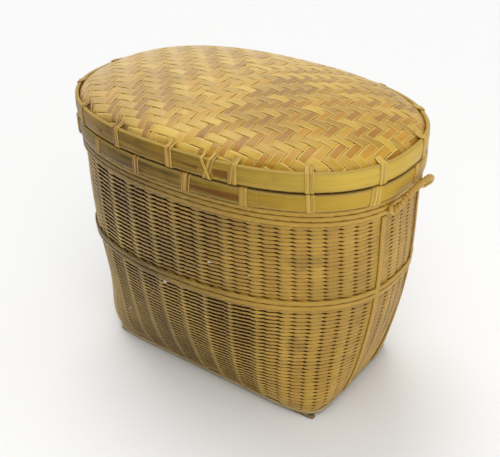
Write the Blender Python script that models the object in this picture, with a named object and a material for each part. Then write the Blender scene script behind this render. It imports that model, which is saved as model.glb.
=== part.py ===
"""Lidded oval basket of split bamboo.

A square-cornered woven base grows into an oval rim. Two hoops clamp the top of the wall, a collar
stands inside them, and a domed lid with its own hoops lifts straight up off the collar. The middle
waling climbs a little towards +X, as it does on the hand-woven basket. A small wrapped handle
stands off each end. Lengths are in metres, the long side lies along X, and the underside of the
long runners is at zero height.
"""
import math

import bmesh
import bpy
import numpy as np

# Outline of the wall
STATIONS = 52
FINE = 4000
END_SEARCH = 0.12
HALVINGS = 40
BASE_HALF_LENGTH = 0.150
BASE_HALF_WIDTH = 0.085
BASE_POWER = 10.0
RIM_HALF_LENGTH = 0.195
RIM_HALF_WIDTH = 0.128
RIM_POWER = 2.38
LENGTH_SWELL = 2.5
WIDTH_SWELL = 4.0
CORNER_FADE = 10.0
WALL_TOP = 0.272

# Outline of the hoops
HOOP_HALF_LENGTH = 0.200
HOOP_HALF_WIDTH = 0.133

# General fits
GAP = 0.0003
WEAVE_THICK = 0.0024
STAKE_THICK = 0.0012
STAKE_WIDTH = 0.0068
STAKE_NEAR = WEAVE_THICK + 0.0006
STAKE_EASE = 0.0020
STAKE_LEAN = 0.0045

# Heights of the body, bottom to top
LONG_RUNNER_TOP = 0.0026
SHORT_RUNNER_TOP = LONG_RUNNER_TOP + GAP + 0.0024
PANEL_BOTTOM = SHORT_RUNNER_TOP + GAP
PANEL_TOP = PANEL_BOTTOM + 0.0028
BORDER_TOP = PANEL_BOTTOM + 0.0033
BORDER_PROUD = 0.0012
TILT_START = 0.0750
LOWER_WEAVE_TOP = 0.1480
MIDDLE_WALING_TOP = 0.1610
MIDDLE_TILT = 0.036
UPPER_WEAVE_TOP = 0.2530
TOP_WALING_TOP = 0.2699
RIM_BOTTOM = 0.2717
RIM_TOP = 0.2892
COLLAR_BOTTOM = RIM_BOTTOM - 0.0060
COLLAR_TOP = 0.3030
LOWER_LEVELS = (BORDER_TOP + GAP, 0.020, 0.032, 0.052, TILT_START, 0.110, LOWER_WEAVE_TOP)
STAKE_LEVELS = (*LOWER_LEVELS[::2], RIM_BOTTOM + 0.0020)

# Heights of the lid
LID_BOTTOM = 0.2923
LID_HOOP_TOP = 0.3120
LID_INNER_TOP = 0.3050
MAT_EDGE_HEIGHT = 0.3065
DOME_TOP = 0.3368
DOME_POWER = 2.31
DOME_FLATNESS = 2.22
MAT_THICK = 0.0016
MAT_TURN_DROP = 0.0010
MAT_SHARES_OUT = (0.994, 0.975, 0.94, 0.88, 0.79, 0.67, 0.50, 0.32, 0.14)
MAT_SHARES_IN = (0.14, 0.40, 0.62, 0.79, 0.91, 0.975)

# Depths measured inwards from the hoops' outer face
HOOP_THICK = 0.0040
CORE_OUT = 0.0043
CORE_IN = 0.0094
INNER_HOOP_IN = 0.0127
COLLAR_OUT = 0.0152
COLLAR_IN = 0.0170
MAT_OUT = 0.0043
MAT_IN = MAT_OUT + MAT_THICK
LID_INNER_OUT = MAT_IN + GAP
LID_INNER_IN = LID_INNER_OUT + 0.0030
LAP_FIRST = 39
LAP_STATIONS = 4
LAP_TIP = 0.0003
HOOP_ROUNDING = 0.0005
HOOP_ROUNDING_RISE = 0.0022

# Cane lashings
LASH_THICK = 0.0010
LASH_PAIR_WIDTH = 0.0056
LASH_GAP = 0.0002
LASH_SLACK = 0.0006
LID_LASHES = 15
LID_LASH_PHASE = 0.0233
RIM_LASHES = 17
RIM_LASH_PHASE = 0.0090
STAKES_PER_LASH = 4
STAKE_COUNT = RIM_LASHES * STAKES_PER_LASH
LAP_BIND_PLACE = 0.8000
LAP_BIND_SLANT = 0.0090
LID_LASH_END = LID_INNER_TOP - 0.0020
# Two turns of cane side by side, as (share of the width, share of half the thickness)
LASH_SECTION = ((-0.5, -1.0), (0.5, -1.0), (0.5, 0.3), (0.25, 1.0), (0.0, 0.1), (-0.25, 1.0), (-0.5, 0.3))

# Runners under the base
RUNNER_WIDTH = 0.009
LONG_RUNNER_HALF = 0.147
LONG_RUNNER_Y = 0.079
SHORT_RUNNER_HALF = 0.084
SHORT_RUNNER_X = 0.137
RUNNER_END_CUT = 0.004
RUNNER_CORNER_CUT = 0.002

# Walings, proud of the weave: a row's bulge spans the middle of its pitch
TOP_PROUD = 0.0030
MIDDLE_PROUD = 0.0036
BULGE_START = 0.35
BULGE_END = 0.65
VALLEY_SHARE = 0.45
EDGE_SHARE = 0.35

# Handles
GRIP_X = 0.2100
GRIP_HEIGHT = 0.2730
GRIP_HALF = 0.016
GRIP_CORNER_Y = 0.034
GRIP_RADIUS = 0.0041
GRIP_RISE = (0.0125, -0.0015, 0.0020)
GRIP_STEPS = 11
BEAD = 0.11
FOOT_Y = 0.031
FOOT_HEIGHT = 0.2585
FOOT_STEP = 0.0012
EYE_RADIUS = 0.0062
EYE_CANE = 0.0013
EYE_STEP = 0.0032
EYE_STEPS = 12
EYE_SIDES = 5
GRIP_SIDES = 6
LEG_Y = 0.036
LEG_WIDTH = 0.0060
LEG_THICK = 0.0018
LEG_BOTTOM = 0.014
LEG_TOP = 0.2520
LEG_LEVELS = (LEG_BOTTOM, 0.032, 0.052, 0.075, 0.110, 0.150, 0.190, 0.220, LEG_TOP)
LEG_SLOT_LEVELS = LEG_LEVELS[4:7]
LEG_SLOT_MARGIN = 0.00035

# Colours
STRAW = (0.60, 0.43, 0.17)
AMBER = (0.62, 0.38, 0.13)
HONEY = (0.66, 0.47, 0.15)
CANE = (0.58, 0.36, 0.15)
DARK_SPLINT = (0.34, 0.25, 0.12)


# Outlines
def oval(half_length, half_width, power, fractions):
    """Points and outward normals at the given shares of the way round a superellipse."""
    turn = np.linspace(0.0, 2.0 * math.pi, FINE + 1)
    cosine = np.cos(turn)
    sine = np.sin(turn)
    x = half_length * np.sign(cosine) * np.abs(cosine) ** (2.0 / power)
    y = half_width * np.sign(sine) * np.abs(sine) ** (2.0 / power)
    length = np.concatenate(([0.0], np.cumsum(np.hypot(np.diff(x), np.diff(y)))))
    want = (np.asarray(fractions) % 1.0) * length[-1]
    px = np.interp(want, length, x)
    py = np.interp(want, length, y)
    nx = np.sign(px) * np.abs(px / half_length) ** (power - 1.0) / half_length
    ny = np.sign(py) * np.abs(py / half_width) ** (power - 1.0) / half_width
    size = np.hypot(nx, ny)
    return np.stack([px, py], 1), np.stack([nx / size, ny / size], 1)


EVEN = np.arange(STATIONS) / STATIONS


def wall_polygon(height):
    """Stations and normals of the wall's outer face at one height."""
    rest = 1.0 - min(max(height / WALL_TOP, 0.0), 1.0)
    half_length = RIM_HALF_LENGTH - (RIM_HALF_LENGTH - BASE_HALF_LENGTH) * rest ** LENGTH_SWELL
    half_width = RIM_HALF_WIDTH - (RIM_HALF_WIDTH - BASE_HALF_WIDTH) * rest ** WIDTH_SWELL
    power = RIM_POWER + (BASE_POWER - RIM_POWER) * rest ** CORNER_FADE
    return oval(half_length, half_width, power, EVEN)


def hoop_polygon():
    """Stations and normals of the outer face of both outer hoops."""
    return oval(HOOP_HALF_LENGTH, HOOP_HALF_WIDTH, RIM_POWER, EVEN)


def on_polygon(polygon, fraction, depth, height, slide=0.0):
    """A point on the many-sided outline, moved inwards by depth and along the side by slide."""
    points, normals = polygon
    place = (fraction % 1.0) * STATIONS
    index = int(place) % STATIONS
    after = (index + 1) % STATIONS
    share = place - int(place)
    point = points[index] * (1.0 - share) + points[after] * share
    normal = normals[index] * (1.0 - share) + normals[after] * share
    along = points[after] - points[index]
    along = along / np.hypot(*along)
    spot = point - normal * depth + along * slide
    return (float(spot[0]), float(spot[1]), float(height))


def fraction_at_y(polygon, y):
    """Share of the way round where the +X end of an outline has the given Y."""
    low = -END_SEARCH
    high = END_SEARCH
    for _ in range(HALVINGS):
        middle = 0.5 * (low + high)
        if on_polygon(polygon, middle, 0.0, 0.0)[1] < y:
            low = middle
        else:
            high = middle
    return 0.5 * (low + high)


# Solids
def skin(mesh, rings, closed):
    """Join equal loops of points into one closed body, with flat ends unless it closes on itself."""
    loops = [[mesh.verts.new(point) for point in ring] for ring in rings]
    steps = len(loops) if closed else len(loops) - 1
    size = len(loops[0])
    for step in range(steps):
        here = loops[step]
        there = loops[(step + 1) % len(loops)]
        for side in range(size):
            after = (side + 1) % size
            mesh.faces.new((here[side], here[after], there[after], there[side]))
    if not closed:
        mesh.faces.new(loops[0])
        mesh.faces.new(loops[-1])


def material(name, colour, roughness):
    """Plain surface for one piece."""
    made = bpy.data.materials.new(name)
    made.use_nodes = True
    shader = made.node_tree.nodes["Principled BSDF"]
    shader.inputs["Base Color"].default_value = (*colour, 1.0)
    shader.inputs["Roughness"].default_value = roughness
    shader.inputs["Metallic"].default_value = 0.0
    return made


def node(name, mesh, colour, roughness=0.5, parent=None, origin=(0.0, 0.0, 0.0), smooth=False):
    """Named object from a mesh given in world positions, with its own origin."""
    bmesh.ops.translate(mesh, verts=mesh.verts, vec=[-value for value in origin])
    bmesh.ops.recalc_face_normals(mesh, faces=mesh.faces)
    for face in mesh.faces:
        face.smooth = smooth
    data = bpy.data.meshes.new(name)
    mesh.to_mesh(data)
    mesh.free()
    data.materials.append(material(name, colour, roughness))
    made = bpy.data.objects.new(name, data)
    bpy.context.scene.collection.objects.link(made)
    made.parent = parent
    base = parent.location if parent else (0.0, 0.0, 0.0)
    made.location = [origin[axis] - base[axis] for axis in range(3)]
    return made


def turned_copy(source, name, colour, roughness=0.5):
    """Half-turn copy about the upright axis, for the piece at the other end or side."""
    made = bpy.data.objects.new(name, source.data)
    made.location = (-source.location.x, -source.location.y, source.location.z)
    made.rotation_euler = (0.0, 0.0, math.pi)
    bpy.context.scene.collection.objects.link(made)
    made.material_slots[0].link = "OBJECT"
    made.material_slots[0].material = material(name, colour, roughness)
    return made


def band(profile_at, polygon_at, first=0, count=STATIONS, closed=True):
    """Closed body swept round the outline: profile_at gives (depth, height) pairs for each station."""
    mesh = bmesh.new()
    rings = []
    for step in range(first, first + count):
        loop = []
        for depth, height in profile_at(step):
            points, normals = polygon_at(height)
            index = step % STATIONS
            spot = points[index] - normals[index] * depth
            loop.append((spot[0], spot[1], height))
        rings.append(loop)
    skin(mesh, rings, closed)
    return mesh


HOOP_LINE = hoop_polygon()
HOOP_ROUND = float(np.sum(np.hypot(*(np.roll(HOOP_LINE[0], -1, axis=0) - HOOP_LINE[0]).T)))
WALL_LINES = {}


def wall_at(height):
    """Wall outline for a height, worked out once."""
    key = round(height, 6)
    if key not in WALL_LINES:
        WALL_LINES[key] = wall_polygon(height)
    return WALL_LINES[key]


def hoop_at(height):
    """Hoop outline, the same at every height."""
    return HOOP_LINE


def lifted(profile, step):
    """Profile with its heights moved by the climb of the middle waling, which fades out above and below."""
    climb = MIDDLE_TILT * HOOP_LINE[0][step % STATIONS][0]
    moved = []
    for depth, height in profile:
        rising = (height - TILT_START) / (LOWER_WEAVE_TOP - TILT_START)
        falling = (UPPER_WEAVE_TOP - height) / (UPPER_WEAVE_TOP - MIDDLE_WALING_TOP)
        moved.append((depth, height + climb * max(0.0, min(1.0, rising, falling))))
    return moved


def shell(levels_out, levels_in):
    """Weave shell between the two given sets of heights."""
    profile = [(0.0, height) for height in levels_out]
    profile += [(WEAVE_THICK, height) for height in reversed(levels_in)]
    return band(lambda step: lifted(profile, step), wall_at)


def roped(bottom, top, rows, proud):
    """Waling band with one rounded bulge for each row of twisted cane."""
    pitch = (top - bottom) / rows
    profile = [(-EDGE_SHARE * proud, bottom)]
    for row in range(rows):
        start = bottom + row * pitch
        profile.append((-proud, start + BULGE_START * pitch))
        profile.append((-proud, start + BULGE_END * pitch))
        if row < rows - 1:
            profile.append((-VALLEY_SHARE * proud, start + pitch))
    profile.append((-EDGE_SHARE * proud, top))
    profile.append((WEAVE_THICK, top))
    profile.append((WEAVE_THICK, bottom))
    return band(lambda step: lifted(profile, step), wall_at)


def hoop(bottom, top, lap_start):
    """Split-bamboo hoop whose two tapered ends lie over each other in a long scarf."""
    rings_count = STATIONS + LAP_STATIONS + 1

    def profile(step):
        travelled = step - lap_start
        outer = 0.0
        inner = HOOP_THICK
        if travelled <= LAP_STATIONS:
            share = travelled / LAP_STATIONS
            outer = HOOP_THICK - LAP_TIP - share * (HOOP_THICK - 2.0 * LAP_TIP - GAP)
        if travelled >= STATIONS:
            share = (travelled - STATIONS) / LAP_STATIONS
            inner = HOOP_THICK - LAP_TIP - GAP - share * (HOOP_THICK - 2.0 * LAP_TIP - GAP)
        round_off = min(HOOP_ROUNDING, 0.35 * (inner - outer))
        return [(outer + round_off, bottom), (outer, bottom + HOOP_ROUNDING_RISE),
                (outer, top - HOOP_ROUNDING_RISE), (outer + round_off, top), (inner, top), (inner, bottom)]

    return band(profile, hoop_at, lap_start, rings_count, closed=False)


def flat_band(outer, inner, bottom, top):
    """Plain band of four edges between two depths and two heights."""
    profile = [(outer, bottom), (outer, top), (inner, top), (inner, bottom)]
    return band(lambda step: profile, hoop_at)


def lash(path, fraction, closed, slant=0.0):
    """Pair of cane turns that follows (depth, height) corners across the hoops."""
    mesh = bmesh.new()
    heights = [height for depth, height in path]
    middle = 0.5 * (min(heights) + max(heights))
    span = max(heights) - min(heights)
    rings = []
    for index, (depth, height) in enumerate(path):
        here = np.array([depth, height])
        run = np.zeros(2)
        if closed or index:
            step_in = here - path[index - 1]
            run += step_in / np.hypot(*step_in)
        if closed or index < len(path) - 1:
            step_out = np.array(path[(index + 1) % len(path)]) - here
            run += step_out / np.hypot(*step_out)
        turn = np.array([-run[1], run[0]]) / np.hypot(*run)
        inside = closed or 0 < index < len(path) - 1
        spread = 0.5 * LASH_THICK * (math.sqrt(2.0) if inside else 1.0)
        lean = slant * (height - middle) / span
        loop = []
        for side, lift in LASH_SECTION:
            away = (lean + side * LASH_PAIR_WIDTH) / HOOP_ROUND
            loop.append(on_polygon(HOOP_LINE, fraction + away, depth + turn[0] * spread * lift,
                                   height + turn[1] * spread * lift))
        rings.append(loop)
    skin(mesh, rings, closed)
    return mesh


def lash_frame(outer, inner, bottom, top):
    """Corner path of a wrap whose inner faces clear the given block by the lashing gap."""
    reach = LASH_GAP + 0.5 * LASH_THICK
    slack = LASH_SLACK + 0.5 * LASH_THICK
    return [(outer - slack, top + reach), (outer - slack, bottom - reach),
            (inner + slack, bottom - reach), (inner + slack, top + reach)]


def tube(mesh, path, radii, sides):
    """Round body along a path, with one radius for each point."""
    points = [np.array(point) for point in path]
    rings = []
    upright = np.array([0.0, 0.0, 1.0])
    for index, point in enumerate(points):
        before = points[max(index - 1, 0)]
        after = points[min(index + 1, len(points) - 1)]
        run = (after - before) / np.linalg.norm(after - before)
        across = np.cross(run, upright)
        across = across / np.linalg.norm(across)
        lift = np.cross(across, run)
        loop = []
        for side in range(sides):
            angle = 2.0 * math.pi * side / sides
            spot = point + radii[index] * (math.cos(angle) * across + math.sin(angle) * lift)
            loop.append(tuple(spot))
        rings.append(loop)
    skin(mesh, rings, closed=False)


def ring_loop(mesh, centre, axis, major, minor, around, sides, start=0.0, sweep=2.0 * math.pi):
    """Round cane bent into a circle, or part of one, about an axis."""
    axis = np.array(axis) / np.linalg.norm(axis)
    first = np.cross(axis, (0.0, 0.0, 1.0))
    first = first / np.linalg.norm(first)
    second = np.cross(first, axis)
    whole = sweep > 1.99 * math.pi
    steps = around if whole else around + 1
    rings = []
    for step in range(steps):
        turn = start + sweep * step / around
        out = math.cos(turn) * first + math.sin(turn) * second
        loop = []
        for side in range(sides):
            angle = 2.0 * math.pi * side / sides
            spot = np.array(centre) + out * (major + minor * math.cos(angle))
            spot = spot + axis * minor * math.sin(angle)
            loop.append(tuple(spot))
        rings.append(loop)
    skin(mesh, rings, whole)


for leftover in list(bpy.data.objects):
    bpy.data.objects.remove(leftover, do_unlink=True)

lid_lift = bpy.data.objects.new("lid_lift", None)
lid_lift.location = (0.0, 0.0, LID_BOTTOM)
bpy.context.scene.collection.objects.link(lid_lift)


# Runners under the base
def runner(half, bottom, top, along_x, offset):
    """Flat splint with slanting ends, lying along X or Y at an offset from the middle."""
    mesh = bmesh.new()
    plan = [(-half, -0.5 * RUNNER_WIDTH), (half - RUNNER_END_CUT, -0.5 * RUNNER_WIDTH),
            (half, 0.5 * RUNNER_WIDTH - RUNNER_CORNER_CUT),
            (half - RUNNER_CORNER_CUT, 0.5 * RUNNER_WIDTH),
            (-half + RUNNER_END_CUT, 0.5 * RUNNER_WIDTH)]
    rings = []
    for height in (bottom, top):
        if along_x:
            rings.append([(u, v + offset, height) for u, v in plan])
        else:
            rings.append([(v + offset, u, height) for u, v in plan])
    skin(mesh, rings, closed=False)
    return mesh


front = node("front_runner", runner(LONG_RUNNER_HALF, 0.0, LONG_RUNNER_TOP, True, -LONG_RUNNER_Y),
             DARK_SPLINT, 0.6, origin=(0.0, -LONG_RUNNER_Y, 0.0))
turned_copy(front, "rear_runner", DARK_SPLINT, 0.6)
right = node("right_runner",
             runner(SHORT_RUNNER_HALF, LONG_RUNNER_TOP + GAP, SHORT_RUNNER_TOP, False, SHORT_RUNNER_X),
             DARK_SPLINT, 0.6, origin=(SHORT_RUNNER_X, 0.0, LONG_RUNNER_TOP + GAP))
turned_copy(right, "left_runner", DARK_SPLINT, 0.6)

# Woven base and the splint that edges it
panel = bmesh.new()
panel_line = wall_at(PANEL_BOTTOM)
panel_rings = []
for level in (PANEL_BOTTOM, PANEL_TOP):
    panel_rings.append([on_polygon(panel_line, share, WEAVE_THICK + 2.0 * GAP, level) for share in EVEN])
skin(panel, panel_rings, closed=False)
node("base_panel", panel, STRAW, 0.6, origin=(0.0, 0.0, PANEL_BOTTOM))

border_profile = [(-EDGE_SHARE * BORDER_PROUD, PANEL_BOTTOM),
                  (-BORDER_PROUD, 0.5 * (PANEL_BOTTOM + BORDER_TOP)),
                  (-EDGE_SHARE * BORDER_PROUD, BORDER_TOP), (WEAVE_THICK, BORDER_TOP),
                  (WEAVE_THICK, PANEL_BOTTOM)]
border_line = wall_at(PANEL_BOTTOM)
node("base_border", band(lambda step: border_profile, lambda height: border_line), STRAW, 0.55,
     origin=(0.0, 0.0, PANEL_BOTTOM))

# Upright stakes behind the weave, their tips drawn as one ring that the rim hoops clamp
stakes = bmesh.new()
for number in range(STAKE_COUNT):
    rings = []
    for level in STAKE_LEVELS:
        clamped = level > WALL_TOP
        lean = 0.0 if clamped else STAKE_LEAN
        share = RIM_LASH_PHASE + (number + 0.5) / STAKE_COUNT + lean
        line = HOOP_LINE if clamped else wall_at(level)
        inset = HOOP_HALF_LENGTH - RIM_HALF_LENGTH if clamped else 0.0
        near = inset + STAKE_NEAR + STAKE_EASE * max(0.0, 1.0 - level / WALL_TOP) ** 2
        far = near + STAKE_THICK
        rings.append([on_polygon(line, share, depth, level, side * STAKE_WIDTH)
                      for side, depth in ((-0.5, near), (0.5, near), (0.5, far), (-0.5, far))])
    skin(stakes, rings, closed=False)
uprights = node("stake_uprights", stakes, STRAW, 0.55)
uprights.hide_render = True
uprights.display_type = "WIRE"
tips = node("stakes", flat_band(CORE_OUT, CORE_IN, RIM_BOTTOM, RIM_TOP), STRAW, 0.6)
join = tips.modifiers.new("uprights", "BOOLEAN")
join.operation = "UNION"
join.solver = "EXACT"
join.object = uprights

# Weave below and above the middle waling
node("lower_weave", shell(LOWER_LEVELS, LOWER_LEVELS[::2]), STRAW, 0.55)
upper_start = MIDDLE_WALING_TOP + GAP
upper_levels = (upper_start, 0.190, 0.220, UPPER_WEAVE_TOP)
node("upper_weave", shell(upper_levels, (upper_start, UPPER_WEAVE_TOP)), STRAW, 0.55)
node("top_waling", roped(UPPER_WEAVE_TOP + GAP, TOP_WALING_TOP, 3, TOP_PROUD), HONEY, 0.45)
waling = node("middle_waling", roped(LOWER_WEAVE_TOP + GAP, MIDDLE_WALING_TOP, 2, MIDDLE_PROUD),
              HONEY, 0.45)


# Legs that run from the handles down the end wall, behind the middle waling
def leg_body(mesh, y, margin, levels):
    """Flat strip on the end wall at one Y, grown by a margin on its sides and outer face."""
    share = fraction_at_y(wall_at(LEG_TOP), y)
    half = 0.5 * LEG_WIDTH + margin
    near = -GAP + margin
    far = -GAP - LEG_THICK - margin
    rings = []
    for level in levels:
        line = wall_at(level)
        rings.append([on_polygon(line, share, near, level, -half), on_polygon(line, share, near, level, half),
                      on_polygon(line, share, far, level, half), on_polygon(line, share, far, level, -half)])
    skin(mesh, rings, closed=False)


for place, side_y in (("front", -LEG_Y), ("rear", LEG_Y)):
    leg = bmesh.new()
    leg_body(leg, side_y, 0.0, LEG_LEVELS)
    strip = node("right_leg_" + place, leg, HONEY, 0.5)
    turned_copy(strip, "left_leg_" + ("rear" if place == "front" else "front"), HONEY, 0.5)

slot_mesh = bmesh.new()
for side_y in (-LEG_Y, LEG_Y):
    leg_body(slot_mesh, side_y, LEG_SLOT_MARGIN, LEG_SLOT_LEVELS)
right_slots = node("waling_slot_right", slot_mesh, STRAW)
left_slots = turned_copy(right_slots, "waling_slot_left", STRAW)
for slots in (right_slots, left_slots):
    slots.hide_render = True
    slots.display_type = "WIRE"
    cut = waling.modifiers.new(slots.name, "BOOLEAN")
    cut.operation = "DIFFERENCE"
    cut.solver = "EXACT"
    cut.object = slots

# Hoops that clamp the top of the wall, and the collar the lid slips over
node("rim_outer_hoop", hoop(RIM_BOTTOM, RIM_TOP, LAP_FIRST + 1), HONEY, 0.35)
node("rim_inner_hoop", flat_band(CORE_IN + GAP, INNER_HOOP_IN, RIM_BOTTOM, RIM_TOP), HONEY, 0.4)
node("rim_collar", flat_band(COLLAR_OUT, COLLAR_IN, COLLAR_BOTTOM, COLLAR_TOP), STRAW, 0.45)

rim_path = lash_frame(0.0, INNER_HOOP_IN, RIM_BOTTOM, RIM_TOP)
for number in range(RIM_LASHES):
    share = RIM_LASH_PHASE + number / RIM_LASHES
    node(f"rim_lashing_{number + 1:02d}", lash(rim_path, share, closed=True), CANE, 0.5)

# Domed mat of the lid, from its under side over the clamped edge to its outer side
def mat_ring(share, depth, drop):
    """Loop of the dome at a share of the way from its middle to the clamped edge."""
    swell = (1.0 - share ** DOME_POWER) ** (1.0 / DOME_FLATNESS)
    height = MAT_EDGE_HEIGHT + (DOME_TOP - MAT_EDGE_HEIGHT) * swell - drop
    points, normals = HOOP_LINE
    loop = []
    for point, normal in zip(points, normals):
        spot = (point - normal * depth) * share
        loop.append((spot[0], spot[1], height))
    return loop


def mat_edge(depth, height):
    """Loop of the upright edge that the lid hoops clamp."""
    points, normals = HOOP_LINE
    return [(*(point - normal * depth), height) for point, normal in zip(points, normals)]


mat = bmesh.new()
mat_rings = [mat_ring(share, MAT_IN, MAT_THICK) for share in MAT_SHARES_IN]
mat_rings.append(mat_edge(MAT_IN, MAT_EDGE_HEIGHT - MAT_TURN_DROP))
mat_rings.append(mat_edge(MAT_IN, LID_BOTTOM))
mat_rings.append(mat_edge(MAT_OUT, LID_BOTTOM))
mat_rings.append(mat_edge(MAT_OUT, MAT_EDGE_HEIGHT))
mat_rings += [mat_ring(share, MAT_OUT, 0.0) for share in MAT_SHARES_OUT]
skin(mat, mat_rings, closed=False)
lid_origin = (0.0, 0.0, LID_BOTTOM)
node("lid_mat", mat, AMBER, 0.45, parent=lid_lift, origin=lid_origin)

# Hoops and lashings of the lid
node("lid_outer_hoop", hoop(LID_BOTTOM, LID_HOOP_TOP, LAP_FIRST), HONEY, 0.35, lid_lift, lid_origin)
node("lid_inner_hoop", flat_band(LID_INNER_OUT, LID_INNER_IN, LID_BOTTOM, LID_INNER_TOP), HONEY, 0.4,
     lid_lift, lid_origin)

lid_corners = lash_frame(0.0, LID_INNER_IN, LID_BOTTOM, LID_HOOP_TOP)
lid_path = [(MAT_OUT - GAP, lid_corners[0][1])] + lid_corners[:3]
lid_path.append((lid_corners[2][0], LID_LASH_END))
for number in range(LID_LASHES):
    share = LID_LASH_PHASE + number / LID_LASHES
    node(f"lid_lashing_{number + 1:02d}", lash(lid_path, share, closed=False), CANE, 0.5, lid_lift,
         lid_origin)

# Slanting turns that bind the lapped ends of the lid hoop
node("lid_lap_binding", lash(lid_path, LAP_BIND_PLACE, closed=False, slant=LAP_BIND_SLANT), CANE, 0.5,
     lid_lift, lid_origin)


# Handles
def handle_path():
    """Centre line of the right handle, from one foot out and up to the grip and back."""
    share = fraction_at_y(wall_at(FOOT_HEIGHT), -FOOT_Y)
    surface = -TOP_PROUD - FOOT_STEP
    foot = np.array(on_polygon(wall_at(FOOT_HEIGHT), share, surface, FOOT_HEIGHT))
    control = (foot, foot + np.array(GRIP_RISE),
               np.array([GRIP_X, -GRIP_CORNER_Y, GRIP_HEIGHT]),
               np.array([GRIP_X, -GRIP_HALF, GRIP_HEIGHT]))
    half = []
    for step in range(GRIP_STEPS + 1):
        t = step / GRIP_STEPS
        weights = ((1 - t) ** 3, 3 * t * (1 - t) ** 2, 3 * t * t * (1 - t), t ** 3)
        half.append(sum(weight * point for weight, point in zip(weights, control)))
    straight = [np.array([GRIP_X, -GRIP_HALF + GRIP_HALF * step / 5.0, GRIP_HEIGHT]) for step in range(1, 6)]
    half += straight
    mirrored = [point * np.array([1.0, -1.0, 1.0]) for point in reversed(half[:-1])]
    return half + mirrored


grip_line = handle_path()
grip_origin = (GRIP_X, 0.0, GRIP_HEIGHT)
grip = bmesh.new()
grip_radii = [GRIP_RADIUS * (1.0 + (BEAD if index % 2 else -BEAD)) for index in range(len(grip_line))]
tube(grip, grip_line, grip_radii, GRIP_SIDES)
right_handle = node("right_handle", grip, CANE, 0.45, origin=grip_origin, smooth=True)
turned_copy(right_handle, "left_handle", CANE, 0.45)

for place, near, beyond in (("front", 0, 1), ("rear", -1, -2)):
    eye = bmesh.new()
    outward = grip_line[beyond] - grip_line[near]
    ring_loop(eye, grip_line[near] + EYE_STEP * outward / np.linalg.norm(outward), outward,
              EYE_RADIUS, EYE_CANE, EYE_STEPS, EYE_SIDES)
    loop = node("right_eye_" + place, eye, CANE, 0.5, smooth=True)
    turned_copy(loop, "left_eye_" + ("rear" if place == "front" else "front"), CANE, 0.5)
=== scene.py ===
"""Lidded oval bamboo basket: the woven surfaces, hoops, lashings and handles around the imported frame.

Lengths are in metres. A share is a place on an outline: the part of the way round from +X towards +Y.
The wall is twined with pairs of splints round upright stakes, two bands of waling stand proud of it,
and the lid is a pointed twill of flat strips turned down inside its hoops.
"""
import math

import bpy
import numpy as np
from mathutils import Matrix, Vector


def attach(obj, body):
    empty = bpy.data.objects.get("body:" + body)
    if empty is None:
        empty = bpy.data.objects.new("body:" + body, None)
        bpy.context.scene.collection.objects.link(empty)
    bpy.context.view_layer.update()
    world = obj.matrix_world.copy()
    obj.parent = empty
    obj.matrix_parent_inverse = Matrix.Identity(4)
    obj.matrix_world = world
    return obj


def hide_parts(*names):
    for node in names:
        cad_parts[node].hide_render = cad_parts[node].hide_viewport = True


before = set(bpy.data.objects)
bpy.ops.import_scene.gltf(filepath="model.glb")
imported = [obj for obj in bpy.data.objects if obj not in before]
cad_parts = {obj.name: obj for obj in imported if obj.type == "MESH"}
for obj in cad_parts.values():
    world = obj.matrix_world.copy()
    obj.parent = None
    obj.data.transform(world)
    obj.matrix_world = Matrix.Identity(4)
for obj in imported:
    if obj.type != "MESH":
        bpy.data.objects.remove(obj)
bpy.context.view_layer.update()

TAU = 2.0 * math.pi
UP = np.array([0.0, 0.0, 1.0])

# Outline of the wall and the hoops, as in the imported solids
BASE_HALF = (0.150, 0.085)
RIM_HALF = (0.195, 0.128)
HOOP_HALF = (0.200, 0.133)
BASE_POWER = 10.0
RIM_POWER = 2.38
LENGTH_SWELL = 2.5
WIDTH_SWELL = 4.0
CORNER_FADE = 10.0
WALL_TOP = 0.272
HOOP_ROUND = 1.084
STATIONS = 52
SEAM_SHARE = 0.25

# Where the weave departs from them: the ends swell a little, and the left foot is drawn in
END_SWELL = 0.0030
SWELL_TOP = 0.2300
FOOT_DRAW = 0.0065
FOOT_DRAW_TOP = 0.0450

# Heights
LONG_RUNNER = (0.0, 0.0026)
SHORT_RUNNER = (0.0029, 0.0053)
PANEL_HEIGHT = 0.0070
BORDER = (0.0056, 0.0089)
TILT_START = 0.0750
LOWER_TOP = 0.1480
MIDDLE_TOP = 0.1610
MIDDLE_TILT = 0.036
UPPER_TOP = 0.2530
WALING_TOP = 0.2699
RIM = (0.2717, 0.2892)
COLLAR = (0.2657, 0.3030)
LID_HOOP = (0.2923, 0.3120)
LID_INNER_TOP = 0.3050
MAT_EDGE = 0.3065
DOME_TOP = 0.3368
DOME_POWER = 2.31
DOME_FLATNESS = 2.22

# Depths behind the outer face of the hoops
HOOP_THICK = 0.0040
RIM_INNER = (0.0097, 0.0127)
COLLAR_DEPTHS = (0.0152, 0.0170)
MAT_DEPTH = 0.0051
LID_INNER = (0.0062, 0.0092)

# Stakes, which lean a little below the rim; depths are behind the wall's outer face
STAKES = 68
STAKE_FIRST = 0.0090 + 0.5 / STAKES
STAKE_LEAN = 0.0045
LEAN_END = 0.2737
STAKE_DEPTH = 0.0032
RIM_CORE_DEPTH = 0.0024
FIRST_UNIT = int(SEAM_SHARE * STAKES)

rng = np.random.default_rng(11)


# Outlines
def normalised(vectors):
    """The same directions, one unit long."""
    return vectors / np.maximum(np.linalg.norm(vectors, axis=-1, keepdims=True), 1e-12)


def lengths_along(path):
    """Distance travelled at each point of a path."""
    return np.concatenate(([0.0], np.cumsum(np.linalg.norm(np.diff(path, axis=0), axis=1))))


def read_table(table, where):
    """Values between the entries of a table of places and values."""
    return np.interp(where, *zip(*table))


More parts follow.
